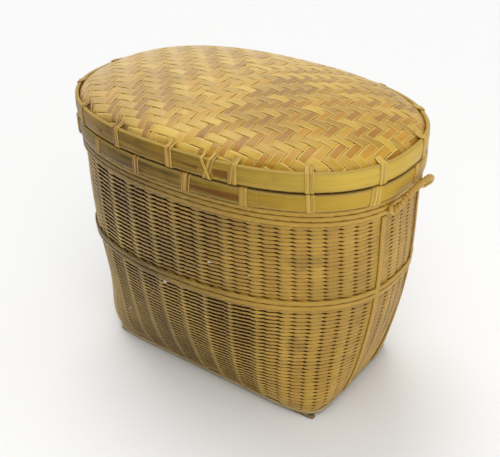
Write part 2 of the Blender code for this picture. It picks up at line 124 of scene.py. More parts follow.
def superellipse(half, power, shares, fine=6000):
    """Points and outward normals at shares of the way round."""
    turn = np.linspace(0.0, TAU, fine + 1)
    cosine = np.cos(turn)
    sine = np.sin(turn)
    x = half[0] * np.sign(cosine) * np.abs(cosine) ** (2.0 / power)
    y = half[1] * np.sign(sine) * np.abs(sine) ** (2.0 / power)
    length = lengths_along(np.stack([x, y], 1))
    want = np.mod(shares, 1.0) * length[-1]
    px = np.interp(want, length, x)
    py = np.interp(want, length, y)
    nx = np.sign(px) * np.abs(px / half[0]) ** (power - 1.0) / half[0]
    ny = np.sign(py) * np.abs(py / half[1]) ** (power - 1.0) / half[1]
    return np.stack([px, py], 1), normalised(np.stack([nx, ny], 1))


def wall_outline(height, shares):
    """The wall's outer face at one height."""
    rest = 1.0 - min(max(height / WALL_TOP, 0.0), 1.0)
    half = (RIM_HALF[0] - (RIM_HALF[0] - BASE_HALF[0]) * rest ** LENGTH_SWELL,
            RIM_HALF[1] - (RIM_HALF[1] - BASE_HALF[1]) * rest ** WIDTH_SWELL)
    power = RIM_POWER + (BASE_POWER - RIM_POWER) * rest ** CORNER_FADE
    points, normals = superellipse(half, power, shares)
    swell = END_SWELL * math.sin(math.pi * min(max(height / SWELL_TOP, 0.0), 1.0))
    drawn = FOOT_DRAW * max(0.0, 1.0 - height / FOOT_DRAW_TOP) ** 2
    end = np.clip(np.abs(points[:, 0]) / half[0], 0.0, 1.0)
    points[:, 0] += np.sign(points[:, 0]) * end ** 2 * swell
    points[:, 0] += np.where(points[:, 0] < 0.0, end, 0.0) * drawn
    return points, normals


GRID_SHARES = 1024
GRID_LEVELS = 150
GRID_TOP = 0.298
JUST_UNDER_ONE = 0.9999
grid_places = np.arange(GRID_SHARES) / GRID_SHARES
WALL_GRID = np.stack([np.column_stack([wall_outline(z, grid_places)[0], np.full(GRID_SHARES, z)])
                      for z in np.linspace(0.0, GRID_TOP, GRID_LEVELS)])
WALL_OUT = normalised(np.cross(np.roll(WALL_GRID, -1, axis=1) - np.roll(WALL_GRID, 1, axis=1),
                               np.gradient(WALL_GRID, axis=0)))


def wall(shares, heights, depths):
    """Points and outward normals on the wall, sunk by the given depths."""
    shares, heights, depths = np.broadcast_arrays(shares, heights, depths)
    place = np.mod(shares, 1.0) * GRID_SHARES
    left = place.astype(int) % GRID_SHARES
    right = (left + 1) % GRID_SHARES
    across = (place - np.floor(place))[:, None]
    level = np.clip(heights / GRID_TOP, 0.0, JUST_UNDER_ONE) * (GRID_LEVELS - 1)
    low = level.astype(int)
    up = (level - low)[:, None]

    def mixed(grid):
        bottom = grid[low, left] * (1 - across) + grid[low, right] * across
        top = grid[low + 1, left] * (1 - across) + grid[low + 1, right] * across
        return bottom * (1 - up) + top * up

    out = normalised(mixed(WALL_OUT))
    spot = mixed(WALL_GRID)
    spot[:, 2] = heights
    return spot - out * depths[:, None], out


def hoop_line(shares, depths, heights):
    """Points and outward normals beside the hoops' outer face."""
    points, normals = superellipse(HOOP_HALF, RIM_POWER, shares)
    spot = points - normals * np.broadcast_to(depths, shares.shape)[:, None]
    spot = np.column_stack([spot, np.broadcast_to(heights, shares.shape)])
    return spot, np.column_stack([normals, np.zeros(len(shares))])


def climb(shares, heights):
    """How far the middle waling's climb lifts each place."""
    x = superellipse(HOOP_HALF, RIM_POWER, shares)[0][:, 0]
    rising = (heights - TILT_START) / (LOWER_TOP - TILT_START)
    falling = (UPPER_TOP - heights) / (UPPER_TOP - MIDDLE_TOP)
    return MIDDLE_TILT * x * np.clip(np.minimum(rising, falling), 0.0, 1.0)


def stake_share(number, heights):
    """Share of the way round of a stake."""
    lean = np.clip((LEAN_END - heights) / (LEAN_END - LOWER_TOP), 0.0, 1.0)
    return STAKE_FIRST + number / STAKES + STAKE_LEAN * lean


WAVES = [(rng.integers(2, 9), rng.uniform(10.0, 60.0), rng.uniform(0.0, TAU), rng.uniform(0.5, 1.0))
         for _ in range(7)]


def unevenness(shares, heights):
    """Slow hand-made waver, about one unit either way, the same for neighbouring rows."""
    total = np.zeros(np.broadcast(shares, heights).shape)
    for turns, rise, start, size in WAVES:
        total = total + size * np.sin(TAU * turns * shares + rise * heights + start)
    return total / 3.0


# Sections of strips, as shares of half their width and half their thickness
ROUND = np.array([(1.0, 0.0), (0.62, 0.86), (-0.62, 0.86), (-1.0, 0.0), (-0.62, -0.86), (0.62, -0.86)])
WEFT = np.array([(1.0, 0.35), (0.94, 0.86), (0.5, 1.0), (-0.5, 1.0), (-0.94, 0.86), (-1.0, 0.35),
                 (-0.7, -1.0), (0.7, -1.0)])
SPLINT = np.array([(1.0, 0.0), (0.9, 0.8), (0.3, 1.0), (-0.3, 1.0), (-0.9, 0.8), (-1.0, 0.0),
                   (-0.8, -0.9), (0.8, -0.9)])
MAT_SECTION = np.array([(1.0, 0.0), (0.93, 0.8), (0.5, 1.0), (-0.5, 1.0), (-0.93, 0.8), (-1.0, 0.0),
                        (-0.93, -0.9), (-0.5, -1.0), (0.5, -1.0), (0.93, -0.9)])


def in_scene(name, data):
    """A new object in the scene."""
    made = bpy.data.objects.new(name, data)
    bpy.context.scene.collection.objects.link(made)
    return made


class Sheaf:
    """Many swept strips that become one mesh with a fibre attribute: run, side and tone."""

    def __init__(self):
        self.points = []
        self.quads = []
        self.fibre = []
        self.stains_and_shades = []
        self.count = 0

    def add(self, rings, fibre, closed, stain_and_shade=0.0):
        """Rings of equal size (rings, sides, 3), with fibre values alike and a darkening value per ring:
        real stains on the hoops, painted shade on strips where they go behind.
        """
        steps, sides = rings.shape[:2]
        number = np.arange(steps * sides).reshape(steps, sides) + self.count
        beside = np.roll(number, -1, axis=1)
        here, beside_here = (number, beside) if closed else (number[:-1], beside[:-1])
        there, beside_there = (np.roll(grid, -1, axis=0)[:len(here)] for grid in (number, beside))
        self.quads.append(np.stack([here, beside_here, beside_there, there], 2).reshape(-1, 4))
        if not closed:
            for ring, flip in ((number[0], True), (number[-1], False)):
                for step in range(sides // 2 - 1):
                    quad = [ring[step], ring[step + 1], ring[sides - 2 - step], ring[sides - 1 - step]]
                    self.quads.append(np.array([quad[::-1] if flip else quad]))
        self.points.append(rings.reshape(-1, 3))
        self.fibre.append(fibre.reshape(-1, 3))
        self.stains_and_shades.append(np.repeat(np.broadcast_to(stain_and_shade, steps), sides))
        self.count += steps * sides

    def sweep(self, path, out, half_width, half_thick, section=ROUND, closed=False, tone=0.5, start=0.0,
              stain_and_shade=0.0):
        """A strip along a path, flat to the outward direction."""
        if closed:
            run = normalised(np.roll(path, -1, axis=0) - np.roll(path, 1, axis=0))
        else:
            run = normalised(np.gradient(path, axis=0))
        out = normalised(out - run * np.sum(out * run, axis=1, keepdims=True))
        side = np.cross(out, run)
        half_width = np.broadcast_to(half_width, len(path))
        half_thick = np.broadcast_to(half_thick, len(path))
        rings = (path[:, None, :] + side[:, None, :] * (half_width[:, None] * section[None, :, 0])[..., None]
                 + out[:, None, :] * (half_thick[:, None] * section[None, :, 1])[..., None])
        self.add(rings, fibre_values(rings, lengths_along(path) + start, section[:, 0], tone), closed, stain_and_shade)

    def build(self, name, surface, body, slot, nodes=()):
        """Finish the mesh, give it its surface, and fasten it to its body."""
        points = np.concatenate(self.points)
        quads = np.concatenate(self.quads)
        mesh = bpy.data.meshes.new(name)
        mesh.vertices.add(len(points))
        mesh.vertices.foreach_set("co", points.astype(np.float32).ravel())
        mesh.loops.add(quads.size)
        mesh.loops.foreach_set("vertex_index", quads.astype(np.int32).ravel())
        mesh.polygons.add(len(quads))
        mesh.polygons.foreach_set("loop_start", np.arange(0, quads.size, 4, dtype=np.int32))
        mesh.polygons.foreach_set("use_smooth", np.ones(len(quads), dtype=bool))
        mesh.update(calc_edges=True)
        mesh.validate()
        values = mesh.attributes.new("fibre", "FLOAT_VECTOR", "POINT")
        values.data.foreach_set("vector", np.concatenate(self.fibre).astype(np.float32).ravel())
        stains_and_shades = mesh.attributes.new("stain_and_shade", "FLOAT", "POINT")
        stains_and_shades.data.foreach_set("value", np.concatenate(self.stains_and_shades).astype(np.float32))
        mesh.materials.append(surface)
        made = in_scene(name, mesh)
        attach(made, body)
        if nodes:
            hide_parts(*nodes)


def fibre_values(rings, run, side, tone):
    """Fibre attribute of a strip: the way along it, the way across it, and its own tone."""
    fibre = np.empty(rings.shape)
    fibre[..., 0] = run[:, None]
    fibre[..., 1] = side[None, :]
    fibre[..., 2] = tone
    return fibre


# Surfaces
class Tree:
    """A node tree in the making; each call adds a node and gives back its output."""

    def __init__(self, tree):
        self.nodes = tree.nodes
        self.links = tree.links

    def feed(self, socket, value):
        """Set an input to a number or a colour, or join it to an output."""
        if isinstance(value, (int, float)):
            socket.default_value = value
        elif isinstance(value, tuple):
            socket.default_value = (*value, 1.0)
        else:
            self.links.new(value, socket)

    def add(self, kind, inputs=(), output=0, **settings):
        fresh = self.nodes.new(kind)
        for key, value in settings.items():
            setattr(fresh, key, value)
        for place, value in dict(inputs).items():
            self.feed(fresh.inputs[place], value)
        return fresh.outputs[output] if fresh.outputs else None

    def maths(self, operation, *values, clamp=False):
        return self.add("ShaderNodeMath", enumerate(values), operation=operation, use_clamp=clamp)

    def swing(self, value, size):
        """How far a value is from a half, times a size."""
        return self.maths("MULTIPLY", self.maths("SUBTRACT", value, 0.5), size)

    def split(self, vector):
        fresh = self.nodes.new("ShaderNodeSeparateXYZ")
        self.links.new(vector, fresh.inputs[0])
        return fresh.outputs

    def noise(self, place, scale, detail, roughness=0.5):
        return self.add("ShaderNodeTexNoise", {"Vector": place, "Scale": scale, "Detail": detail,
                                               "Roughness": roughness}, output="Fac")

    def ranged(self, value, low=0.0, high=1.0, first=0.0, last=1.0, kind="LINEAR"):
        return self.add("ShaderNodeMapRange", {0: value, 1: low, 2: high, 3: first, 4: last},
                        interpolation_type=kind)

    def blend(self, share, first, second, kind="MIX"):
        return self.add("ShaderNodeMix", {0: share, 6: first, 7: second}, output=2, data_type="RGBA",
                        blend_type=kind)


CONTRAST = 2.2
RAMP_ENDS = (0.08, 0.92)
TONE_SPREAD = 173.0
TONE_TURNS = 7.31
# Painted light and shade: how the colour shifts towards the left end and rear, and towards the right end
FAR_LIGHT_SLOPE = (-2.6, 1.6)
FAR_LIGHT_START = 0.45
RIGHT_LIGHT_SLOPE = 6.0
STAIN_SCALE = 1.9
STAIN_LIMITS = (0.60, 0.72)
EDGE_SPAN = 0.16
EDGE_SHARE = 0.85
GRAIN_DEPTH = 0.0006
GRAIN_NOISE = (1.0, 4.0, 0.65)
CLOUD_NOISE = (3.0, 0.55)
STAIN_DETAIL = 5.0
MARK_RAGGED = 0.5
MARK_SHIFT = 0.25
MARK_SHARPNESS = 7.0
LEAST_MARK = 0.02


def bamboo(name, dark, middle, light, edge=None, edge_from=0.72, streak=0.5, patch=0.5, patch_scale=14.0,
           roughness=(0.38, 0.62), bump=0.25, fibres=90.0, stain=0.0, stain_colour=(0.30, 0.13, 0.04),
           far_painted_light=None, right_painted_light=None, right_light_from=0.1, stain_and_shade_colour=None, ragged=True, own_share=0.55,
           sheen=0.0, gloss=0.3, across=5.0):
    """Split bamboo: fibre streaks along each strip, its own tone, slow patches and paler cut edges.

    The far and right tints are a colour and its strength, painted light and shade for how light falls on the
    basket's sides: the far one grows towards the left end and the rear, the right one towards the right end,
    from its start share at the middle. On the hoops they are partly the hoops' own colour as well.
    Stretches given a darkening value are darker, ragged along the fibres or smooth: real stains on the
    hoops, painted shade on strips where they go behind. The paler edges are partly painted highlights on the
    mats and lashings.
    """
    made = bpy.data.materials.new(name)
    made.use_nodes = True
    tree = Tree(made.node_tree)
    run, side, tone = tree.split(tree.add("ShaderNodeAttribute", output="Vector", attribute_name="fibre"))
    spot = tree.add("ShaderNodeTexCoord", output="Object")
    x, y, _ = tree.split(spot)
    grain_place = tree.add("ShaderNodeCombineXYZ", enumerate((
        tree.maths("MULTIPLY", run, fibres), tree.maths("MULTIPLY", side, across),
        tree.maths("MULTIPLY", tone, TONE_SPREAD))))
    grain = tree.noise(grain_place, *GRAIN_NOISE)
    cloud = tree.noise(spot, patch_scale, *CLOUD_NOISE)
    own = tree.maths("FRACT", tree.maths("MULTIPLY", tone, TONE_TURNS))
    total = tree.maths("ADD", tree.swing(grain, streak * CONTRAST), 0.5)
    total = tree.maths("ADD", total, tree.swing(cloud, patch * CONTRAST))
    total = tree.maths("ADD", total, tree.swing(own, own_share), clamp=True)

    ramp = tree.nodes.new("ShaderNodeValToRGB")
    stops = ramp.color_ramp.elements
    stops.new(0.5)
    for stop, position, tint in zip(stops, (RAMP_ENDS[0], 0.5, RAMP_ENDS[1]), (dark, middle, light)):
        stop.position = position
        stop.color = (*tint, 1.0)
    tree.feed(ramp.inputs[0], total)
    colour = ramp.outputs[0]
    # Painted light and shade on the basket's sides, placed by the object's own X and Y
    if far_painted_light:
        painted_light_share = tree.maths("MULTIPLY_ADD", x, FAR_LIGHT_SLOPE[0], FAR_LIGHT_START)
        painted_light_share = tree.maths("ADD", painted_light_share, tree.maths("MULTIPLY", y, FAR_LIGHT_SLOPE[1]), clamp=True)
        colour = tree.blend(tree.maths("MULTIPLY", painted_light_share, far_painted_light[3]), colour, far_painted_light[:3])
    if right_painted_light:
        painted_light_share = tree.maths("MULTIPLY_ADD", x, RIGHT_LIGHT_SLOPE, right_light_from, clamp=True)
        colour = tree.blend(tree.maths("MULTIPLY", painted_light_share, right_painted_light[3]), colour, right_painted_light[:3])
    # Darkening: real stains on the hoops, painted shade on strips where they go behind
    if stain_and_shade_colour:
        shown = tree.add("ShaderNodeAttribute", output="Fac", attribute_name="stain_and_shade")
        if ragged:
            reach = tree.maths("ADD", tree.swing(grain, MARK_RAGGED), shown)
            aside = tree.maths("ABSOLUTE", tree.maths("ADD", side, MARK_SHIFT))
            reach = tree.maths("SUBTRACT", reach, aside)
            shown = tree.maths("MULTIPLY", tree.maths("MULTIPLY", reach, MARK_SHARPNESS, clamp=True),
                               tree.maths("GREATER_THAN", shown, LEAST_MARK))
        colour = tree.blend(shown, colour, stain_and_shade_colour, "MULTIPLY")
    if stain:
        blots = tree.noise(spot, patch_scale * STAIN_SCALE, STAIN_DETAIL)
        amount = tree.ranged(blots, *STAIN_LIMITS, last=stain)
        colour = tree.blend(amount, colour, stain_colour)
    if edge:
        limit = tree.ranged(tree.maths("ABSOLUTE", side), edge_from, min(edge_from + EDGE_SPAN, 1.0),
                            last=EDGE_SHARE, kind="SMOOTHSTEP")
        colour = tree.blend(limit, colour, edge)
    lift = tree.add("ShaderNodeBump", {"Strength": bump, "Distance": GRAIN_DEPTH, "Height": grain})
    shader = made.node_tree.nodes["Principled BSDF"]
    for socket, value in (("Base Color", colour), ("Roughness", tree.ranged(grain, 0.0, 1.0, *roughness)),
                          ("Normal", lift), ("Specular IOR Level", gloss), ("Sheen Weight", sheen)):
        tree.feed(shader.inputs[socket], value)
    return made


# The wefts' darkening colour is painted shade where they go behind
WEFT_LOOK = dict(patch=1.1, stain=0.42, own_share=0.35, sheen=0.10, gloss=0.4, right_light_from=0.28,
                 stain_and_shade_colour=(0.20, 0.18, 0.20), ragged=False)
HOOP_LOOK = dict(edge_from=0.88, streak=1.3, patch=1.1, patch_scale=13.0, roughness=(0.26, 0.46), bump=0.15,
                 fibres=11.0, across=3.6, stain=0.6, right_light_from=-0.05, gloss=0.14)
MAT_LOOK = dict(patch=0.9, own_share=0.75, fibres=60.0, roughness=(0.26, 0.42))
# Wefts: painted paler, greyer light towards the left end and painted warm light towards the right end
PALE_WEFT = bamboo("weft_pale", (0.22, 0.120, 0.015), (0.385, 0.218, 0.028), (0.56, 0.348, 0.054),
                   stain_colour=(0.17, 0.080, 0.012), far_painted_light=(0.50, 0.37, 0.17, 0.55),
                   right_painted_light=(0.51, 0.300, 0.034, 0.58), **WEFT_LOOK)
GOLD_WEFT = bamboo("weft_gold", (0.19, 0.095, 0.012), (0.355, 0.190, 0.024), (0.52, 0.313, 0.047),
                   stain_colour=(0.15, 0.065, 0.010), far_painted_light=(0.45, 0.32, 0.14, 0.55),
                   right_painted_light=(0.48, 0.273, 0.030, 0.58), **WEFT_LOOK)
# Stakes: the darkening colour is painted shade behind the rows
STAKE = bamboo("stake", (0.30, 0.20, 0.06), (0.46, 0.33, 0.11), (0.60, 0.46, 0.19), roughness=(0.3, 0.5),
               stain_and_shade_colour=(0.11, 0.10, 0.09), ragged=False)
# Waling: painted shade under the rim towards the left end, painted light towards the right end
WALING = bamboo("waling", (0.09, 0.055, 0.010), (0.24, 0.140, 0.024), (0.42, 0.265, 0.055), streak=1.1,
                far_painted_light=(0.10, 0.065, 0.020, 0.55), right_painted_light=(0.56, 0.335, 0.050, 0.75), right_light_from=0.30,
                roughness=(0.28, 0.46))
# Hoop: darker towards the left and yellower towards the right, partly its own colour and partly painted
# shade and light; its darkened bands are real stains
HOOP = bamboo("hoop_skin", (0.15, 0.083, 0.007), (0.285, 0.161, 0.012), (0.44, 0.270, 0.025),
              edge=(0.46, 0.31, 0.07), far_painted_light=(0.15, 0.088, 0.016, 0.45),
              right_painted_light=(0.71, 0.490, 0.080, 0.75), stain_and_shade_colour=(0.60, 0.38, 0.20), **HOOP_LOOK)
# A darker copy of the hoop colours for the rim hoop: painted shade under the lid's edge
RIM_HOOP_SHADED = bamboo("rim_skin_shaded", (0.060, 0.034, 0.005), (0.155, 0.088, 0.009), (0.30, 0.180, 0.022),
                  edge=(0.40, 0.28, 0.08), far_painted_light=(0.07, 0.044, 0.010, 0.45),
                  right_painted_light=(0.56, 0.352, 0.040, 0.88), stain_and_shade_colour=(0.62, 0.40, 0.20), **HOOP_LOOK)
INNER = bamboo("hoop_inside", (0.45, 0.31, 0.10), (0.60, 0.44, 0.17), (0.72, 0.56, 0.26), fibres=18.0)
# Mat: a painted sheen towards the far left and painted shade towards the right; the pale edges are partly
# the strips' own paler edges, partly painted highlights
MAT_LONG = bamboo("mat_long", (0.35, 0.195, 0.022), (0.575, 0.350, 0.036), (0.75, 0.510, 0.074),
                  edge=(0.74, 0.54, 0.13), far_painted_light=(0.69, 0.485, 0.235, 0.8),
                  right_painted_light=(0.46, 0.245, 0.020, 0.48), **MAT_LOOK)
MAT_SHORT = bamboo("mat_short", (0.28, 0.120, 0.011), (0.52, 0.252, 0.018), (0.69, 0.402, 0.044),
                   edge=(0.76, 0.56, 0.14), far_painted_light=(0.62, 0.415, 0.185, 0.8),
                   right_painted_light=(0.42, 0.200, 0.015, 0.48), **MAT_LOOK)
# Lashing: the pale edges are partly paler cut edges and partly painted highlights along each round turn;
# paler and warmer towards the right end as painted light
LASH = bamboo("lashing", (0.17, 0.065, 0.006), (0.37, 0.18, 0.018), (0.58, 0.355, 0.055), fibres=45.0,
              streak=0.9, across=3.0, own_share=1.0, edge=(0.66, 0.45, 0.11), edge_from=0.62,
              right_painted_light=(0.62, 0.42, 0.065, 0.70), right_light_from=-0.10, roughness=(0.28, 0.46))
GRIP = bamboo("grip_cane", (0.36, 0.19, 0.04), (0.58, 0.36, 0.07), (0.72, 0.50, 0.13), fibres=160.0,
              roughness=(0.28, 0.45))
RUNNER = bamboo("runner", (0.13, 0.08, 0.04), (0.27, 0.18, 0.09), (0.42, 0.30, 0.16), fibres=30.0)
BORDER_SKIN = bamboo("border", (0.16, 0.100, 0.030), (0.36, 0.250, 0.085), (0.56, 0.42, 0.18), fibres=14.0,
                     streak=1.2)


# Rows of the wall: a pale and a golden strand twined round the stakes
SAMPLES = 8
ROW_WAVER = 0.0004
ROW_JITTER = 0.00005
ROW_PUSH = 0.0007
LEAST_PUSH = 0.4
CLIMB_STEP = 0.001
CROSS_DEPTH = 0.0015
CROSS_SLANT = 0.06
SWINGS = (0.0005, 0.0037)
LEAST_SWING = 0.0008
OPEN_TUCK = 0.0016
SWING_POWER = 0.6
HALF_THICK = 0.0009
OPEN_THINNING = 0.65
LOOSENESS = 0.035
LOWER_PITCHES = ((0.0, 0.0052), (0.030, 0.0050), (0.060, 0.0048), (0.140, 0.0049))
UPPER_PITCH = 0.0049
CORE_PITCH = 0.0043
FOOT_ROWS = 11

# The fibre pattern of each strand starts somewhere else, within this length on long and on short ones
START_SPREAD = 9.0
SHORT_SPREAD = 5.0

# Half heights of a strand, as shares of its row's pitch. In close rows: over a proud and a sunk stake,
# and where two strands cross, or cross beaten together
CLOSE_HALVES = (0.500, 0.490)
CROSS_HALF = 0.20
PACKED_HALF = 0.37
CROSS_SPAN = 0.55
CROSS_POWER = 1.3

# In open rows: the least and the most, both together with what the thickness hides, the most behind a
# stake, and what a proud stake adds
OPEN_HALVES = (0.16, 0.25)
OPEN_SUM = 0.27
REAR_HALF = 0.17
PROUD_HALF = 0.25
PROUD_POWER = 13

# Rear strands sit lower than the front ones, so that these hide them from the photograph's direction
SIGHT = np.array([0.509, -0.687, 0.519])
LARGEST_DROP = 0.58
LEAST_FACING = 0.12
TURNED_AWAY = 0.05
SLOPES = (0.3, 3.5)
AWAY_SLOPE = 0.6
UPPER_HIDING = 0.62
HIDING_RISE = 0.008

# Slits that part the lowest rows, and the painted shade on a strand where it goes behind
SLITS = 13.0
SLIT_WAVER = 1.5
SLIT_RISE = 0.0080
SLIT_FADE = 0.0040
SHADE_START = 0.0005
SHADE_SPAN = 0.0014

# By share of the way round: how open the rows are, low down and high up, and where they are beaten together
OPEN_LOW = ((0.08, 0.0), (0.61, 0.0), (0.64, 1.0), (0.83, 1.0), (0.86, 0.35), (0.90, 0.15), (0.94, 0.1))
OPEN_HIGH = ((0.08, 0.0), (0.61, 0.0), (0.64, 1.0), (0.70, 0.9), (0.775, 0.65), (0.85, 0.20), (0.90, 0.0))
PACKED = ((0.015, 0.0), (0.05, 1.0), (0.60, 1.0), (0.635, 0.0))


def row_heights(bottom, top, pitch_at):
    """Middle height and pitch of each row in a band that the rows fill exactly."""
    edges = [bottom]
    while edges[-1] < top:
        edges.append(edges[-1] + pitch_at(edges[-1]))
    edges = np.array(edges)
    edges = bottom + (edges - bottom) * (top - bottom) / (edges[-1] - bottom)
    return list(zip(0.5 * (edges[1:] + edges[:-1]), np.diff(edges)))


def openness(shares, heights):
    """How open the rows are: 1 on the left of the front, and 0 where they are close."""
    place = np.mod(shares, 1.0)
    low = read_table(OPEN_LOW, place)
    high = read_table(OPEN_HIGH, place)
    rise = np.clip((heights - LOWER_TOP) / (MIDDLE_TOP - LOWER_TOP), 0.0, 1.0)
    return low + (high - low) * rise


def stake_push(push, ridge, gaps):
    """How far a stake pushes the rows out, most where they are open; ridge is -1 on the sunk stakes."""
    return push * ridge * (LEAST_PUSH + (1.0 - LEAST_PUSH) * gaps)


def sight_slope(shares, heights):
    """How much lower than the front strand a strand behind it sits to be hidden by it, per unit of depth."""
    out = wall(shares, heights, 0.0)[1]
    rise = np.cross(out, normalised(np.cross(UP, out)))
    facing = out @ SIGHT
    slope = (rise @ SIGHT) * rise[:, 2] / np.maximum(facing, LEAST_FACING)
    return np.where(facing > TURNED_AWAY, np.clip(slope, *SLOPES), AWAY_SLOPE)


def row_level(unit, share, place, height, sag):
    """Heights along a row: its waver, its sag between stakes, and the slits at the foot."""
    level = place + ROW_WAVER * unevenness(share, place) - sag * np.sin(0.5 * math.pi * unit) ** 2
    slit = np.clip(np.sin(TAU * SLITS * share + SLIT_WAVER * unevenness(share, 0.0)), 0.0, 1.0)
    level = level + SLIT_RISE * slit * math.exp(-(height - BORDER[1]) / SLIT_FADE)
    return level + rng.normal(0.0, ROW_JITTER, len(unit))


def strand_half(front, ridge, gaps, share, thin):
    """Half height of a strand, as a share of its row's pitch; thin is what its thickness takes up."""
    crossing = CROSS_HALF + (PACKED_HALF - CROSS_HALF) * read_table(PACKED, np.mod(share, 1.0))
    near = np.clip(np.abs(front) / CROSS_SPAN, 0.0, 1.0) ** CROSS_POWER
    close = crossing + (np.where(ridge > 0.0, *CLOSE_HALVES) - crossing) * near
    wide = np.clip(OPEN_SUM - thin, *OPEN_HALVES)
    wide = np.where(front < 0.0, np.minimum(wide, REAR_HALF), wide)
    wide = wide + np.where(ridge > 0.0, PROUD_HALF * np.abs(front) ** PROUD_POWER, 0.0)
    return close + (wide - close) * gaps


def weft_row(pale, gold, height, pitch, push, cross=CROSS_DEPTH, swings=SWINGS, sag=0.0):
    """One row: two splints that change places between every two stakes."""
    unit = FIRST_UNIT + np.arange(STAKES * SAMPLES) / SAMPLES
    share = stake_share(unit, height)
    place = height + climb(share, height)
    share = stake_share(unit, place)
    squeeze = 1.0 + (climb(share, height + CLIMB_STEP) - climb(share, height)) / CLIMB_STEP
    ridge = np.cos(math.pi * unit)
    level = row_level(unit, share, place, height, sag)
    loose = np.repeat(np.clip(rng.normal(0.0, 1.0, STAKES), -1.5, 1.5), SAMPLES)
    gaps = openness(share, place)
    sight = sight_slope(share, place)
    hidden = UPPER_HIDING if height > MIDDLE_TOP else min(1.0, (height - BORDER[1]) / HIDING_RISE)
    thick = HALF_THICK * (1.0 - OPEN_THINNING * gaps)
    inward = np.minimum(swings[1] - OPEN_TUCK * gaps, LARGEST_DROP * pitch / sight - swings[0])
    inward = swings[1] + (np.maximum(inward, LEAST_SWING) - swings[1]) * gaps
    for strand, sheaf in ((0, pale), (1, gold)):
        phase = math.pi * (unit + strand)
        front = np.cos(phase)
        depth = cross + np.where(front > 0.0, -swings[0], inward) * np.abs(front) ** SWING_POWER
        depth = depth - stake_push(push, ridge, gaps)
        half = strand_half(front, ridge, gaps, share, thick * sight / pitch)
        half = half * pitch * squeeze * (1.0 + LOOSENESS * loose)
        drop = np.where(front < 0.0, sight * np.clip(depth - cross + swings[0], 0.0, None), 0.0)
        drop = np.minimum(drop, LARGEST_DROP * pitch) * hidden
        path, out = wall(share, level + CROSS_SLANT * pitch * np.sin(phase) - drop, depth)
        # Painted shade: a strand darkens where it goes behind, standing in for the shade in the recess
        painted_shade = np.clip((depth - cross - SHADE_START) / SHADE_SPAN, 0.0, 1.0)
        sheaf.sweep(path, out, half, thick, WEFT, closed=True, tone=rng.random(),
                    start=rng.random() * START_SPREAD, stain_and_shade=painted_shade)


def weft_rows(label, nodes, rows, **fit):
    """Neighbouring rows as two pieces, one of pale strands and one of golden ones."""
    pale = Sheaf()
    gold = Sheaf()
    for height, pitch in rows:
        weft_row(pale, gold, height, pitch, **fit)
    pale.build(f"{label}_weft_pale", PALE_WEFT, "body", "woven_splint", nodes)
    gold.build(f"{label}_weft_gold", GOLD_WEFT, "body", "woven_splint", nodes)


lower_rows = row_heights(BORDER[1] + 0.0004, LOWER_TOP, lambda height: read_table(LOWER_PITCHES, height))
upper_rows = row_heights(MIDDLE_TOP + 0.0001, UPPER_TOP, lambda height: UPPER_PITCH)
weft_rows("foot", ["lower_weave"], lower_rows[:FOOT_ROWS], push=0.0006, sag=0.0003)
weft_rows("lower", ["lower_weave"], lower_rows[FOOT_ROWS:], push=ROW_PUSH, sag=0.0005)
weft_rows("upper", ["upper_weave"], upper_rows, push=ROW_PUSH, sag=0.0003)

# Rows clamped between the rim hoops, seen when the lid is off
core_rows = row_heights(RIM[0], RIM[1] - 0.0008, lambda height: CORE_PITCH)
weft_rows("rim", [], core_rows, push=0.0, cross=RIM_CORE_DEPTH, swings=(0.0012, 0.0012))

# Upright stakes, every other one sunk; their feet lean a little, as the photograph shows
STAKE_HALF = (0.0034, 0.00065)
STAKE_LEVELS = np.concatenate([np.linspace(PANEL_HEIGHT, 0.030, 8), np.linspace(0.036, RIM[1] - 0.0004, 26)])
PUSH_LIMITS = (0.012, 0.042)
FOOT_LIMITS = (0.008, 0.038)
FOOT_LEAN = 0.0030
FOOT_POWER = 1.5
FOOT_PHASE = 0.6
STAKE_VARIETY = 0.06
OPEN_RISE = 0.0010
SUNK_NARROWING = 0.5
SUNK_DEPTH = 0.0004
# Painted shade: the stakes darken from these heights up to the rim, where they stand behind the rows
STAKE_SHADE = (0.0075, 0.0090)


def rise_between(limits, values):
    """From 0 at the first limit to 1 at the second."""
    return np.clip((values - limits[0]) / (limits[1] - limits[0]), 0.0, 1.0)


def stake_strips():
    """The upright stakes as flat strips, from the base panel to the rim."""
    sheaf = Sheaf()
    in_rim = STAKE_LEVELS > WALING_TOP
    fade = rise_between(PUSH_LIMITS, STAKE_LEVELS)
    foot = (1.0 - rise_between(FOOT_LIMITS, STAKE_LEVELS)) ** FOOT_POWER
    painted_shade = rise_between(STAKE_SHADE, STAKE_LEVELS) * (STAKE_LEVELS < RIM[0])
    for number in range(STAKES):
        sunk = number % 2 == 1
        share = stake_share(number, STAKE_LEVELS)
        gaps = openness(share, STAKE_LEVELS)
        push = np.where(in_rim, 0.0, stake_push(ROW_PUSH, -1.0 if sunk else 1.0, gaps) * fade)
        depth = np.where(in_rim, RIM_CORE_DEPTH, STAKE_DEPTH - OPEN_RISE * gaps)
        share = share + foot * FOOT_LEAN * math.sin(2.0 * TAU * number / STAKES + FOOT_PHASE)
        path, out = wall(share, STAKE_LEVELS, depth - push)
        half = STAKE_HALF[0] * (1.0 + STAKE_VARIETY * rng.normal())
        if sunk:
            gaps = openness(share, STAKE_LEVELS) * fade
            half = half * (1.0 - SUNK_NARROWING * gaps)
            path = path - out * (SUNK_DEPTH * gaps)[:, None]
        sheaf.sweep(path, out, half, STAKE_HALF[1], SPLINT, tone=rng.random(), stain_and_shade=painted_shade)
    sheaf.build("stake_strips", STAKE, "body", "woven_splint", ["stakes"])


stake_strips()

# Walings: each strand passes over several stakes, then behind one
WALING_SAMPLES = 6
WALING_HALF_THICK = 0.0010
WALING_CORE = 0.0012
WALING_DIP = 0.0040
WALING_RAMP = 0.6
WALING_SLANT = 0.9
WALING_UNEVEN = 0.10


